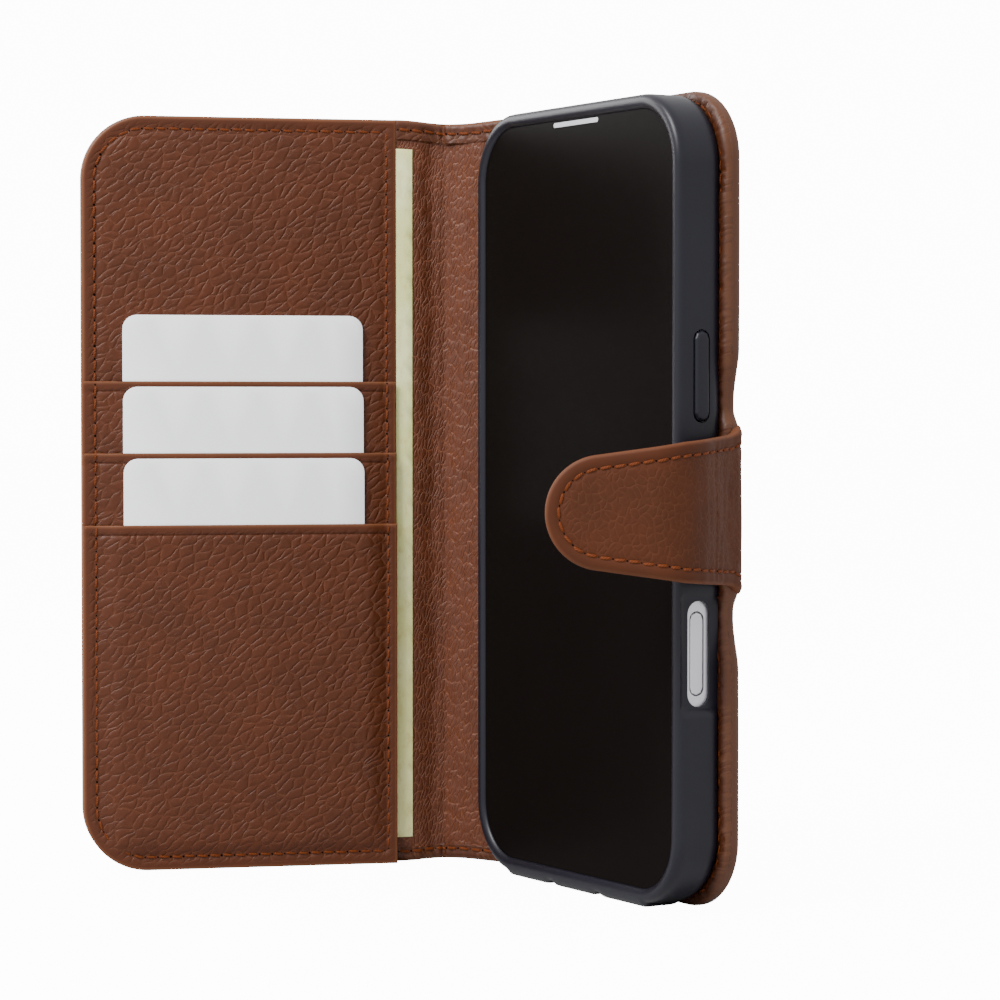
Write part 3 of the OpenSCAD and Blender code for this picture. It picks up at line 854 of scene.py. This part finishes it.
def hide_outer(a, z, d):
    """Outer face of the outer leather: soft padding, seam and bulging edge."""
    padded = 0.10 * smooth(5.5, 3.2, d) * (d > 0)
    seam = seam_dip(d) * (1 - smooth(-3, 0, a) * smooth(SPINE + 3, SPINE, a))
    swell = 0.12 * noise(a / 14, z / 17 + 5, 2)
    puffed = 0.5 * smooth(0.0, 1.6, d) * smooth(5.0, 3.0, d) * smooth(SPINE + 12, SPINE + 20, a)
    puffed = puffed * (1 - by_strap(z) * smooth(SPINE + 70, SPINE + 78, a))
    return seam - padded * 0.5 - puffed + 0.12 + 0.6 * spine_waves(a + 31, z) + 0.5 * swell


HEM_ROWS = (HEM_LOW - 0.2, HEM_LOW + 0.2, HEIGHT - HEM_HIGH - 0.2, HEIGHT - HEM_HIGH + 0.2)
EDGE_RINGS = (0.0, 0.1, 0.3, 0.6, 1.0, 1.4, 2.0, 2.5, 3.0, 3.6, 4.4, 5.2)


def make_hide():
    """The outer leather in one sheet, split halfway over the spine into a front and a back half."""
    outline = hide_outline()
    for name, cut, blend, nodes in (
            ("hide_front", before(MID), blend_case_front,
             ["front_outer_leather", "front_board", "closing_plate"]),
            ("hide_back", after(MID), blend_case_back,
             ["back_outer_leather", "back_board", "spine_outer_leather"])):
        sheet = plate(name, outline, hide_inner, hide_outer, on_case, (1.3, 1.3), [WINDOW],
                      (1.0, 1.3), EDGE_RINGS, HEM_ROWS, [cut])
        finished(sheet, OUTER, replaces=nodes)
        blend(sheet)


def lining_top(a, z, d):
    relief = spine_waves(a, z) + 0.05 * noise(a / 2.2, z / 2.6, 2) * smooth(-14, -9, a)
    crease = 0.35 * bump(a, 0.3, 1.6) * smooth(-3, 2, a + 2)
    return inner_face(a) + relief - crease


def lining_bottom(a, z, d):
    return inner_face(a) - 0.6


def make_lining():
    """The lining over the spine, from under the card panel to under the phone."""
    outline = rounded_outline(-COVER_W + 3, FREE_A - 3, 2.4, HEIGHT - 3.6, (11,) * 4)
    hole = [(x, z) for x, z in shifted(WINDOW, -0.2)]
    for name, holes, cuts, blend, nodes in (
            ("lining_front", [], [before(MID), after(-COVER_W + 12)], blend_case_front,
             ["front_lining"]),
            ("lining_back", [hole], [after(MID), before(NOTCH_A - 1.5)], blend_case_back,
             ["back_lining", "spine_lining"])):
        sheet = plate(name, outline, lining_top, lining_bottom, on_case, (0.05, 0.05), holes,
                      (0.8, 1.0), (0.0,), (), cuts)
        finished(sheet, LINING, replaces=nodes)
        blend(sheet)


# ---- card panel and pockets


def card_swell(a, z):
    """1 over the cards and 0 at the sewn margins."""
    across = smooth(CARD_A0 - 5.2, CARD_A0 - 0.4, a) * smooth(CARD_A1 + 5.2, CARD_A1 + 0.4, a)
    return across * smooth(2.9, 6.1, z)


def panel_seams(a, z, d):
    """Dip of the seam round the panel, shallower where the banknote lies under it."""
    over_note = smooth(PANEL_A - 7, PANEL_A - 5, a)
    return seam_dip(d, SEAM, 0.7, 0.3) * (1 - 0.45 * over_note)


def panel_top(a, z, d):
    """Face of the card panel."""
    soft = 0.05 * noise(a / 16 + 3, z / 19, 2) * smooth(3, 9, d)
    return PANEL_TOP - 0.06 - panel_seams(a, z, d) + soft


def panel_outline(top, inset=PANEL_INSET, overhang=0.0):
    """The card panel, or the part of it below a pocket's top edge."""
    upper = CORNER - inset if top > HEIGHT - 5 else 0
    return rounded_outline(-COVER_W + inset, PANEL_A + overhang, inset, top,
                           (CORNER - inset, 0, 0, upper))


PANEL_EDGE = panel_outline(HEIGHT - PANEL_INSET)


def pocket_level(number, a, z):
    """Depth of a pocket's face: high over its card and low at its sewn margins."""
    over_card = PANEL_TOP + number * LAYER_STEP
    at_margin = PANEL_TOP + 0.12 + number * MARGIN_STEP
    return at_margin + (over_card - at_margin) * card_swell(a, z)


def make_pocket(number):
    """One pocket over the card panel, numbered from the top."""
    top = POCKET_TOPS[number - 1]

    def face(a, z, d):
        edge = distance_to(np.column_stack([a, z]), PANEL_EDGE)
        line = 0.3 * np.exp(-((top - z - POCKET_CREASE) / 0.27) ** 2)
        soft = 0.08 * noise(a / 13 + 7 * number, z / 11, 2)
        return pocket_level(number, a, z) - seam_dip(edge, SEAM, 0.7, 0.2) - line + soft

    def under(a, z, d):
        return pocket_level(number, a, z) - 0.55 + 0.26 * card_swell(a, z)

    pocket = plate("card_pocket_%d" % number, panel_outline(top, 0.05, -0.25), face, under, on_case,
                   radii=(0.28, 0.2), spacing=(1.3, 1.3),
                   rings=(0.0, 0.06, 0.14, 0.28, 1.2, 1.7, 1.95, 2.2, 2.45, 2.7, 3.4))
    cad = ("card_pocket_upper", "card_pocket_middle", "card_pocket_lower")[number - 1]
    finished(pocket, PANEL, "front_cover", [cad])


def make_panel():
    """The leather panel that carries the pockets."""
    panel = plate("card_panel_leather", PANEL_EDGE, panel_top, level(FRONT_T + 0.12), on_case,
                  radii=(0.42, 0.02), spacing=(1.4, 1.4),
                  rings=(0.0, 0.06, 0.2, 0.42, 1.0, 1.8, 2.3, 2.7, 3.1, 3.8, 5.0))
    finished(panel, PANEL, "front_cover", ["card_panel"])


def make_cards():
    """Three blank cards, one layer higher for each pocket."""
    for number, (name, body) in enumerate(
            (("card_upper", "upper_card"), ("card_middle", "middle_card"),
             ("card_lower", "lower_card")), 1):
        low, high = box_mm(name)
        back = PANEL_TOP + (number - 1) * LAYER_STEP + 0.01
        outline = rounded_outline(CARD_A0, CARD_A1, low[2], high[2], (CARD_R,) * 4, 2.0)
        card = plate(name + "_blank", outline, level(back + CARD_T), level(back), on_case,
                     radii=(0.12, 0.12), spacing=(12, 12), rings=(0.0, 0.03, 0.12))
        finished(card, CARD, body, [name])


def make_note():
    """A blank banknote between the card panel and the lining."""
    low, high = box_mm("banknote")
    outline = rounded_outline(PANEL_A - 62.3, PANEL_A + 3.7, low[2], high[2], (0,) * 4, 2.0)
    wave = lambda a, z, d: FRONT_T + 0.1 + 0.01 * noise(z / 23, a / 15, 2)
    note = plate("banknote_sheet", outline, lambda a, z, d: wave(a, z, d) + 0.08, wave, on_case,
                 radii=(0.03, 0.03), spacing=(2.5, 2.5), rings=(0.0, 0.05))
    finished(note, NOTE, "note", ["banknote"])


# ---- stitches


def paced(line):
    """A line's points, how far along it each one lies, and how many stitches it takes."""
    points = np.array(line, float)
    steps = np.linalg.norm(np.diff(points, axis=0), axis=1)
    reach = np.concatenate([[0], np.cumsum(steps)])
    return points, reach, max(1, round(reach[-1] / STITCH_PITCH))


def stitch_rows(name, lines, place, depth, body, replaces=(), sign=1, width=0.62, lift=0.1,
                blend=None):
    """Single stitches along lines of (along, up) points, sunk at both ends."""
    verts, faces, coords = [], [], []
    for line in lines:
        points, reach, count = paced(line)
        pitch = reach[-1] / count
        for k in range(count):
            wobble = 0.06 * math.sin(k * 2.4)
            s = (k + 0.5 + np.linspace(-0.46, 0.46, STITCH_RINGS)) * pitch
            a = np.interp(s, reach, points[:, 0])
            z = np.interp(s, reach, points[:, 1])
            t = np.linspace(-1, 1, STITCH_RINGS)
            across = np.array([z[-1] - z[0], a[0] - a[-1]])
            across /= np.linalg.norm(across) + 1e-9
            slant = 0.12 * t + wobble
            a, z = a + across[0] * slant, z + across[1] * slant
            radius = width / 2 * np.sqrt(np.clip(1 - (t * 0.97) ** 6, 0.05, 1))
            rise = lift - 0.42 * t ** 4
            base = depth(a, z)
            for i in range(STITCH_RINGS):
                for j in range(STITCH_SIDES):
                    turn = 2 * math.pi * j / STITCH_SIDES
                    out, up = radius[i] * math.cos(turn), radius[i] * math.sin(turn) * 0.8
                    verts.append((a[i] + across[0] * out, base[i] + sign * (rise[i] + up),
                                  z[i] + across[1] * out))
                    coords.append((t[i] * 1.3, j * 0.25, k * 3.7))
            first = len(verts) - STITCH_RINGS * STITCH_SIDES
            for i in range(STITCH_RINGS - 1):
                for j in range(STITCH_SIDES):
                    right = (j + 1) % STITCH_SIDES
                    low, high = first + i * STITCH_SIDES, first + (i + 1) * STITCH_SIDES
                    faces.append([low + j, low + right, high + right, high + j])
            faces.append([first + j for j in range(STITCH_SIDES)][::-1])
            last = first + (STITCH_RINGS - 1) * STITCH_SIDES
            faces.append([last + j for j in range(STITCH_SIDES)])
    v = np.array(verts)
    obj = new_object(name, place(v[:, 0], v[:, 1], v[:, 2]), faces, coords, 70)
    make_outward(obj)
    finished(obj, THREAD, body, replaces)
    # painted shade: near-black dimples stand for the shade inside the needle holes
    hole_shades = needle_holes(name + "_holes", lines, place, depth, sign, width)
    finished(hole_shades, HOLE_SHADE, body)
    if blend:
        blend(obj)
        blend(hole_shades)
    return obj


def needle_holes(name, lines, place, depth, sign, width):
    """Small dimples between the stitches, coloured near black as painted shade inside the needle
    holes.
    """
    verts, faces = [], []
    for line in lines:
        points, reach, count = paced(line)
        at = np.linspace(0, reach[-1], count + 1)
        a, z = np.interp(at, reach, points[:, 0]), np.interp(at, reach, points[:, 1])
        base = depth(a, z)
        for k in range(len(at)):
            size = width * (0.46 + 0.1 * math.sin(k * 1.7))
            first = len(verts)
            verts.append((a[k], base[k] + sign * 0.2, z[k]))
            for j in range(8):
                turn = math.pi * j / 4
                verts.append((a[k] + size * math.cos(turn), base[k] - sign * 0.1,
                              z[k] + size * math.sin(turn)))
            faces += [[first, first + 1 + j, first + 1 + (j + 1) % 8] for j in range(8)]
            faces.append([first + 1 + j for j in range(8)][::-1])
    v = np.array(verts)
    obj = new_object(name, place(v[:, 0], v[:, 1], v[:, 2]), faces, None, 70)
    make_outward(obj)
    return obj


def ring_line(outline, inset, keep):
    """The stretch of an inset outline that a test keeps, as one line."""
    points = shifted(outline, inset)
    on = keep(points[:, 0], points[:, 1])
    start = int(np.argmax(~on)) if (~on).any() else 0
    order = np.roll(np.arange(len(points)), -start)
    return points[[i for i in order if on[i]]]


def make_stitches():
    """Threads on the panel, both covers' edges and the hems over the spine."""
    def inner_depth(a, z):
        number = sum((z < top - 0.3).astype(int) for top in POCKET_TOPS)
        under_card = (number == 0) * (0.16 + 0.14 * (z > HEIGHT - 8))
        return PANEL_TOP + MARGIN_STEP * number - under_card

    round_edge = ring_line(PANEL_EDGE, SEAM, lambda a, z: a < PANEL_A - SEAM - 0.3)
    upright = [(PANEL_A - 2.3, z) for z in np.arange(HEIGHT - SEAM, SEAM, -1.0)]
    stitch_rows("panel_stitches", [round_edge, upright], on_case, inner_depth, "front_cover",
                ["front_stitching"], width=0.54, lift=0.04)

    hide = hide_outline()
    outer = lambda a, z: hide_outer(a, z, np.full(len(a), SEAM))
    front = ring_line(hide, SEAM, lambda a, z: a < -4)
    stitch_rows("front_outer_stitches", [front], on_case, outer, "front_cover", sign=-1)
    upper = ring_line(hide, SEAM, lambda a, z: (a > SPINE + 5) & (z > NOTCH_HIGH + 4))
    lower = ring_line(hide, SEAM, lambda a, z: (a > SPINE + 5) & (z < NOTCH_LOW - 4))
    stitch_rows("back_outer_stitches", [upper, lower], on_case, outer, "back_cover",
                ["back_stitching"], sign=-1)
    inner = lambda a, z: np.full(len(a), BACK_T + 0.75)
    near_shell = lambda a, z: (a > back_a(SHELL_HIGH[0] - 14)) & (
        (z > NOTCH_HIGH + 4) | (z < NOTCH_LOW - 4))
    edge_upper = ring_line(hide, 2.1, lambda a, z: near_shell(a, z) & (z > 80))
    edge_lower = ring_line(hide, 2.1, lambda a, z: near_shell(a, z) & (z < 80))
    stitch_rows("back_inner_stitches", [edge_upper, edge_lower], on_case, inner, "back_cover",
                width=0.34, lift=0.05)
    hem = lambda a, z: inner_face(a) + HEM_T + hem_wrinkles(a, z) - 0.2
    for name, start, end, blend in (
            ("hem_stitches_front", PANEL_A + 0.4, MID, blend_case_front),
            ("hem_stitches_back", MID, SPINE + 9, blend_case_back)):
        lines = [[(a, z) for a in np.linspace(start, end, 24)]
                 for z in (2.3, HEIGHT - 2.3)]
        cad = ["spine_stitching"] if start == MID else []
        stitch_rows(name, lines, on_case, hem, None, cad, blend=blend)


# ---- closing strap


def strap_outline():
    """From the root under the back cover's leather to the round tip."""
    root, fold, tip = STRAP_HALF
    centre = SIDE + TAB_LEN - tip
    lean = math.asin((fold - tip) / (TAB_LEN - tip))
    slope = (root - fold) / SIDE
    flare = [(5.0, 0.0), (3.4, 0.12), (2.0, 0.5), (0.8, 1.1), (-0.4, 1.7), (-1.6, 2.0)]
    flared = [(a, root - slope * max(a, 0) + extra) for a, extra in flare]
    upper = [(SIDE, fold)] + flared + [(STRAP_TUCK, root + flare[-1][1])]
    lower = [(a, -z) for a, z in reversed(upper)]
    round_tip = arc(centre, 0, tip, -math.pi / 2 + lean, math.pi / 2 - lean, 0.5)
    points = [(a, STRAP_Z + z) for a, z in lower + round_tip + upper]
    return sampled(points, 0.8)


def bend_creases(a, z):
    """Creases across the strap where it bends, on its outer face."""
    on = np.exp(-((a - 9) / 8.5) ** 2)
    lines = ridges(a / 1.7 + 0.5 * noise(a / 5, z / 9), z / 22 + 3, 4.0)
    return 0.3 * on * lines


def strap_outer(a, z, d):
    """Outer face of the strap, with its raised border and the bulge over the root fold."""
    border = 0.12 * smooth(0.2, 1.4, d) * smooth(3.4, 2.2, d)
    soft = 0.08 * noise(a / 9, z / 10, 2)
    bulge = 0.55 * np.exp(-((a - 0.6) / 2.6) ** 2)
    seam = seam_dip(d, STRAP_SEAM, 0.55, 0.24)
    value = STRAP_T - 0.1 + border - seam - bend_creases(a, z) + soft + bulge
    free = smooth(-4.5, -1.5, a)
    return value * free + (STRAP_T - 0.5) * (1 - free)


def strap_inner(a, z, d):
    return 0.05 + 0.05 * noise(a / 6, z / 7, 2)


def make_strap():
    """The strap in one sheet, split between its folds into two pieces."""
    outline = strap_outline()
    middle = SIDE / 2
    rings = (0.0, 0.08, 0.25, 0.5, 0.75, 1.3, 2.0, 2.4, 2.75, 3.1, 3.6, 4.4)
    for name, cut, blend, nodes in (
            ("strap_root_leather", before(middle), blend_root,
             ["strap_root", "strap_side_leather", "strap_side_lining"]),
            ("strap_tab", after(middle), blend_tab,
             ["strap_tab_leather", "strap_tab_lining", "strap_magnet"])):
        sheet = plate(name, outline, strap_outer, strap_inner, on_strap, (0.75, 0.7), (),
                      (0.8, 1.0), rings, (), [cut])
        finished(sheet, STRAP, replaces=nodes)
        blend(sheet)
    depth = lambda a, z: strap_outer(a, z, np.full(len(a), STRAP_SEAM))
    on_side = lambda a: (a > -2.0) & (a < middle)
    first = ring_line(outline, STRAP_SEAM, lambda a, z: on_side(a) & (z > STRAP_Z))
    second = ring_line(outline, STRAP_SEAM, lambda a, z: on_side(a) & (z < STRAP_Z))
    stitch_rows("strap_root_stitches", [first, second], on_strap, depth, None, blend=blend_root)
    tip = ring_line(outline, STRAP_SEAM, lambda a, z: a > middle)
    stitch_rows("strap_tab_stitches", [tip], on_strap, depth, None, ["strap_tab_stitching"],
                blend=blend_tab)


def blend_root(obj):
    reach = STRAP_SOFT[0]
    place_on(on_strap, -reach, STRAP_T / 2, STRAP_Z)
    place_on(on_strap, reach, STRAP_T / 2, STRAP_Z)
    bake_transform(obj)


def blend_tab(obj):
    reach = STRAP_SOFT[1]
    place_on(on_strap, SIDE - reach, STRAP_T / 2, STRAP_Z)
    place_on(on_strap, SIDE + reach, STRAP_T / 2, STRAP_Z)
    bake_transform(obj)


# ---- soft shell

SHELL_R = 14.9                    # corner radius of the shell, seen from the front
BUTTONS = {"side_button_cover": "side_button", "volume_up_cover": "volume_up_button",
           "volume_down_cover": "volume_down_button", "action_button_cover": "action_button"}
SLOT_Z = centre_mm("phone_camera_key")[2]
KEY_Y = centre_mm("side_button_cover")[1]
PORT_Y = centre_mm("phone_frame")[1]


def shell_profile():
    """Section of the shell's rim: (inwards from the outer wall, depth)."""
    lip = [(3.1, 0.82), (2.95, 0.55), (2.5, 0.2), (2.0, 0.03), (1.5, 0), (1.0, 0.1), (0.55, 0.38),
           (0.22, 0.85), (0.05, 1.5), (0, 2.3), (0, 3.4), (0, 4.6), (0, 5.8), (0, 7.0)]
    rear = [(0.03, 3.0), (0.15, 2.1), (0.5, 1.2), (1.1, 0.5), (1.9, 0.12), (2.8, 0), (6.0, 0),
            (6.0, 1.4), (1.75, 1.4)]
    groove = [(1.75, 0.9), (3.1, 0.9)]
    front, back = SHELL_LOW[1], SHELL_HIGH[1]
    return ([(n, front + y) for n, y in lip] + [(n, back - y) for n, y in rear]
            + [(n, front + y) for n, y in groove])


def shell_dents(side, y, z):
    """How far the right wall is scooped out round the camera key's slot."""
    span = smooth(-12.3, -11.5, z - SLOT_Z) * smooth(12.3, 11.5, z - SLOT_Z)
    across = smooth(SHELL_LOW[1] + 0.5, SHELL_LOW[1] + 1.9, y) * smooth(
        SHELL_HIGH[1] - 0.3, SHELL_HIGH[1] - 1.8, y)
    return 0.95 * span * across * side


def shell_pads(x, z, depth):
    """Low pads round the openings in the shell's lower wall."""
    under = smooth(SHELL_LOW[2] + 1.2, SHELL_LOW[2] + 0.2, z)
    span = smooth(-28, -26.4, x) * smooth(28, 26.4, x)
    gaps = bump(x, -9.6, 2.4) + bump(x, 9.0, 2.4)
    front = smooth(SHELL_LOW[1] - 0.1, SHELL_LOW[1] + 1.2, depth)
    return 0.85 * under * span * (1 - gaps) * (0.4 + 0.6 * front)


def make_shell():
    """Rim swept round the phone, with a back wall and its openings."""
    half_w = (SHELL_HIGH[0] - SHELL_LOW[0]) / 2
    outline = rounded_outline(-half_w, half_w, SHELL_LOW[2], SHELL_HIGH[2], (SHELL_R,) * 4, 1.0)
    profile = shell_profile()
    rings = [shifted(outline, n) for n, _ in profile]
    count = len(outline)
    verts = []
    for ring, (n, y) in zip(rings, profile):
        depth = np.full(count, y)
        right = (ring[:, 0] > half_w - 8).astype(float)
        dent = shell_dents(right, depth, ring[:, 1]) if n < 1.6 else 0
        pad = shell_pads(ring[:, 0], ring[:, 1], depth) if n < 1.2 else 0
        verts.append(np.column_stack([ring[:, 0] - dent, depth, ring[:, 1] - pad]))
    verts = np.vstack(verts) * MM
    faces = []
    for i in range(len(profile)):
        low, high = i * count, ((i + 1) % len(profile)) * count
        faces += [[low + j, low + (j + 1) % count, high + (j + 1) % count, high + j]
                  for j in range(count)]
    shell = new_object("phone_shell_rim", verts, faces)
    make_outward(shell)
    cut_openings(shell)
    finished(shell, TPU, "back_cover", ["phone_shell"])

    back_outline = [tuple(p) for p in shifted(outline, 5.9)]
    hole = rounded_outline(ISLAND_LOW[0] - 1.5, ISLAND_HIGH[0] + 1.5, ISLAND_LOW[2] - 1.5,
                           ISLAND_HIGH[2] + 1.5, (10.5,) * 4)
    wall = plate("phone_shell_back", back_outline, level(SHELL_HIGH[1] - 0.02),
                 level(SHELL_HIGH[1] - 1.42), upright, radii=(0.3, 0.1), holes=[hole],
                 spacing=(9, 9), rings=(0.0, 0.1, 0.3))
    finished(wall, TPU, "back_cover")


def pill_prism(y, z, length, width, x0, x1):
    """A pill-shaped bar along X, as vertices and faces in millimetres."""
    outline = rounded_outline(y - width / 2, y + width / 2, z - length / 2, z + length / 2,
                              (width / 2 - 0.01,) * 4, 0.4)
    n = len(outline)
    verts = [(x0, p, q) for p, q in outline] + [(x1, p, q) for p, q in outline]
    faces = [list(range(n))[::-1], list(range(n, 2 * n))]
    faces += [[i, (i + 1) % n, n + (i + 1) % n, n + i] for i in range(n)]
    return verts, faces


def cut_openings(shell):
    """Cuts the key slots and the openings in the lower wall with boolean modifiers."""
    half_w = SHELL_HIGH[0]
    bars = [pill_prism(KEY_Y, SLOT_Z, 21.6, 5.4, half_w - 3, half_w + 3)]
    for node in BUTTONS:
        low, high = box_mm(node)
        side = 1 if low[0] > 0 else -1
        ends = sorted((side * (half_w - 2.5), side * (half_w + 3)))
        bars.append(pill_prism(KEY_Y, (low[2] + high[2]) / 2, high[2] - low[2] + 0.5, 4.0, *ends))
    for x, length, width in ((0, 13, 6.4), (-20, 13, 4.6), (20, 13, 4.6)):
        verts, faces = pill_prism(PORT_Y, x, length, width, -2, 3)
        bars.append(([(p[2], p[1], p[0]) for p in verts], [f[::-1] for f in faces]))
    verts, faces = [], []
    for v, f in bars:
        faces += [[i + len(verts) for i in face] for face in f]
        verts += v
    cutter = new_object("cutter", np.array(verts) * MM, faces)
    make_outward(cutter)
    modifier = shell.modifiers.new("cut", "BOOLEAN")
    modifier.operation, modifier.solver, modifier.object = "DIFFERENCE", "EXACT", cutter
    apply_modifiers(shell)
    bpy.data.objects.remove(cutter)


def apply_modifiers(obj):
    """Bakes an object's modifiers into its mesh."""
    evaluated = obj.evaluated_get(bpy.context.evaluated_depsgraph_get())
    mesh = bpy.data.meshes.new_from_object(evaluated)
    obj.modifiers.clear()
    obj.data = mesh
    mesh.set_sharp_from_angle(angle=math.radians(SHARP_ANGLE))


def side_key(name, node, body, material, face, base, width, rounding):
    """A rounded pill key in a side wall, standing from base to face along X."""
    low, high = box_mm(node)
    outline = rounded_outline(KEY_Y - width / 2, KEY_Y + width / 2, low[2], high[2],
                              (width / 2 - 0.01,) * 4, 0.3)
    sideways = lambda y, x, z: np.column_stack([x, y, z]) * MM
    if base > face:
        top, bottom, radii = level(base), level(face), (0.0, rounding)
    else:
        top, bottom, radii = level(face), level(base), (rounding, 0.0)
    key = plate(name, outline, top, bottom, sideways, radii=radii, spacing=(0.6, 0.8))
    finished(key, material, body, [node])


def make_keys():
    """Four button covers in the shell and the camera key in its slot."""
    for node, body in BUTTONS.items():
        low, high = box_mm(node)
        face, base = (high[0], low[0]) if low[0] > 0 else (low[0], high[0])
        side_key(node + "_pill", node, body, TPU, face, base, 3.5, 0.85)
    low, high = box_mm("phone_camera_key")
    side_key("camera_key_pill", "phone_camera_key", "camera_key", METAL,
             high[0] + 0.05, low[0], 3.2, 0.3)


# ---- phone


def lathe(name, profile, centre, steps=64):
    """A turned part about the Y axis from (radius, y) pairs."""
    verts, faces = [], []
    for k in range(steps):
        turn = 2 * math.pi * k / steps
        verts += [(centre[0] + r * math.cos(turn), y, centre[1] + r * math.sin(turn))
                  for r, y in profile]
    m = len(profile)
    for k in range(steps):
        a, b = k * m, (k + 1) % steps * m
        faces += [[a + i, a + i + 1, b + i + 1, b + i] for i in range(m - 1)]
    faces.append([k * m for k in range(steps)])
    faces.append([k * m + m - 1 for k in range(steps)][::-1])
    obj = new_object(name, np.array(verts) * MM, faces)
    make_outward(obj)
    return obj


def make_camera():
    """A plain island with two lenses and a lamp, seen from behind."""
    outline = rounded_outline(ISLAND_LOW[0], ISLAND_HIGH[0], ISLAND_LOW[2], ISLAND_HIGH[2],
                              (9,) * 4)
    island = plate("camera_island", outline, level(ISLAND_HIGH[1]), level(ISLAND_LOW[1]),
                   upright, radii=(1.1, 0.0), spacing=(2, 2))
    finished(island, BACK_GLASS, "back_cover", ["phone_camera_island"])
    cx = (ISLAND_LOW[0] + ISLAND_HIGH[0]) / 2
    cz = (ISLAND_LOW[2] + ISLAND_HIGH[2]) / 2
    y = ISLAND_HIGH[1]
    for number, dz in enumerate((7.8, -7.8), 1):
        at = (cx + 6, cz + dz)
        ring = lathe("lens_ring_%d" % number, [
            (5.3, y - 0.2), (5.3, y + 0.45), (5.6, y + 0.66), (6.6, y + 0.66), (6.9, y + 0.4),
            (7.0, y - 0.2)], at)
        finished(ring, LENS_RING, "back_cover")
        glass = lathe("lens_glass_%d" % number, [
            (0.01, y + 0.42), (1.6, y + 0.38), (1.9, y + 0.3), (3.4, y + 0.3), (3.7, y + 0.4),
            (5.35, y + 0.44), (5.35, y - 0.2)], at)
        nodes = ["phone_camera_lenses"] if number == 1 else []
        finished(glass, LENS, "back_cover", nodes)
    lamp = lathe("camera_lamp", [(0.01, y + 0.1), (1.5, y + 0.16), (2.1, y + 0.12), (2.4, y - 0.1)],
                 (cx - 8, cz), 40)
    finished(lamp, CARD, "back_cover")


def carry_over():
    """Materials of the CAD nodes that stay in view."""
    kept = {
        "phone_frame": METAL, "phone_screen": GLASS, "phone_back_glass": BACK_GLASS,
        "phone_earpiece": MESH, "shell_bonding_pad": ADHESIVE,
        "phone_side_key": METAL, "phone_volume_up_key": METAL, "phone_volume_down_key": METAL,
        "phone_action_key": METAL,
    }
    for node, material in kept.items():
        obj = frame["nodes"][node]
        obj.data.materials.clear()
        obj.data.materials.append(material)


# ---- studio

CAMERA_AT = (0.5708, -0.3691, 0.1030)
CAMERA_TURN, CAMERA_DIP = 59.32, 1.656
LENS_MM = 114.1
SKY_LIGHT = 1.4
BACKDROP_GLOW, FLOOR_GLOW = 12.0, 12.5  # seen by the camera only, so they light nothing
FLOOR_REACH = 6.0
LIGHT_TARGET = (0, 0, 0.08)
KEY_WATTS, SIDE_WATTS = 24, 8


def make_camera_view():
    """The camera at the photograph's viewing angle."""
    data = bpy.data.cameras.new("camera")
    camera = in_scene("camera", data)
    camera.location = CAMERA_AT
    turn, dip = math.radians(CAMERA_TURN), math.radians(CAMERA_DIP)
    look = Vector((-math.sin(turn) * math.cos(dip), math.cos(turn) * math.cos(dip),
                   -math.sin(dip)))
    aim(camera, look)
    data.lens, data.sensor_width = LENS_MM, 36
    data.clip_start, data.clip_end = 0.01, 20
    bpy.context.scene.camera = camera


def area_light(name, place, size, power):
    """A rectangular light aimed at the case."""
    data = bpy.data.lights.new(name, "AREA")
    data.shape, data.size, data.size_y, data.energy = "RECTANGLE", size[0], size[1], power
    obj = in_scene(name, data)
    obj.location = place
    aim(obj, Vector(LIGHT_TARGET) - Vector(place))


def make_studio():
    """The pale floor, the even sky and two soft lights."""
    corners = [(x * FLOOR_REACH, y * FLOOR_REACH, 0) for x, y in ((-1, -1), (1, -1), (1, 1), (-1, 1))]
    mesh = bpy.data.meshes.new("floor")
    mesh.from_pydata(corners, [], [(0, 1, 2, 3)])
    floor = in_scene("floor", mesh)
    n = Nodes("pale_floor")
    speck = n.noise(object_coords(n, 0.02), 1.0, 2.0)
    n.finish(n.mix(speck, (0.44, 0.44, 0.44, 1), (0.5, 0.5, 0.5, 1)), 0.8)
    seen = n.tree.nodes.new("ShaderNodeLightPath").outputs["Is Camera Ray"]
    n.set(n.shader, "Emission Color", (1, 1, 1, 1))
    n.set(n.shader, "Emission Strength", n.times(seen, FLOOR_GLOW))
    floor.data.materials.append(n.material)
    world = bpy.data.worlds.new("studio")
    bpy.context.scene.world = world
    world.use_nodes = True
    tree = world.node_tree
    sky = tree.nodes["Background"]
    sky.inputs["Color"].default_value = (1, 1, 1, 1)
    strength = tree.nodes.new("ShaderNodeMath")
    strength.operation = "MULTIPLY_ADD"
    tree.links.new(tree.nodes.new("ShaderNodeLightPath").outputs["Is Camera Ray"],
                   strength.inputs[0])
    strength.inputs[1].default_value = BACKDROP_GLOW
    strength.inputs[2].default_value = SKY_LIGHT
    tree.links.new(strength.outputs[0], sky.inputs["Strength"])
    area_light("key", (0.15, -0.8, 0.95), (0.5, 0.5), KEY_WATTS)
    area_light("side", (-0.9, -0.45, 0.5), (0.4, 0.7), SIDE_WATTS)


make_camera_view()
make_hide()
make_lining()
make_panel()
for pocket_number in (1, 2, 3):
    make_pocket(pocket_number)
make_cards()
make_note()
make_stitches()
make_strap()
make_shell()
make_keys()
make_camera()
carry_over()
make_studio()
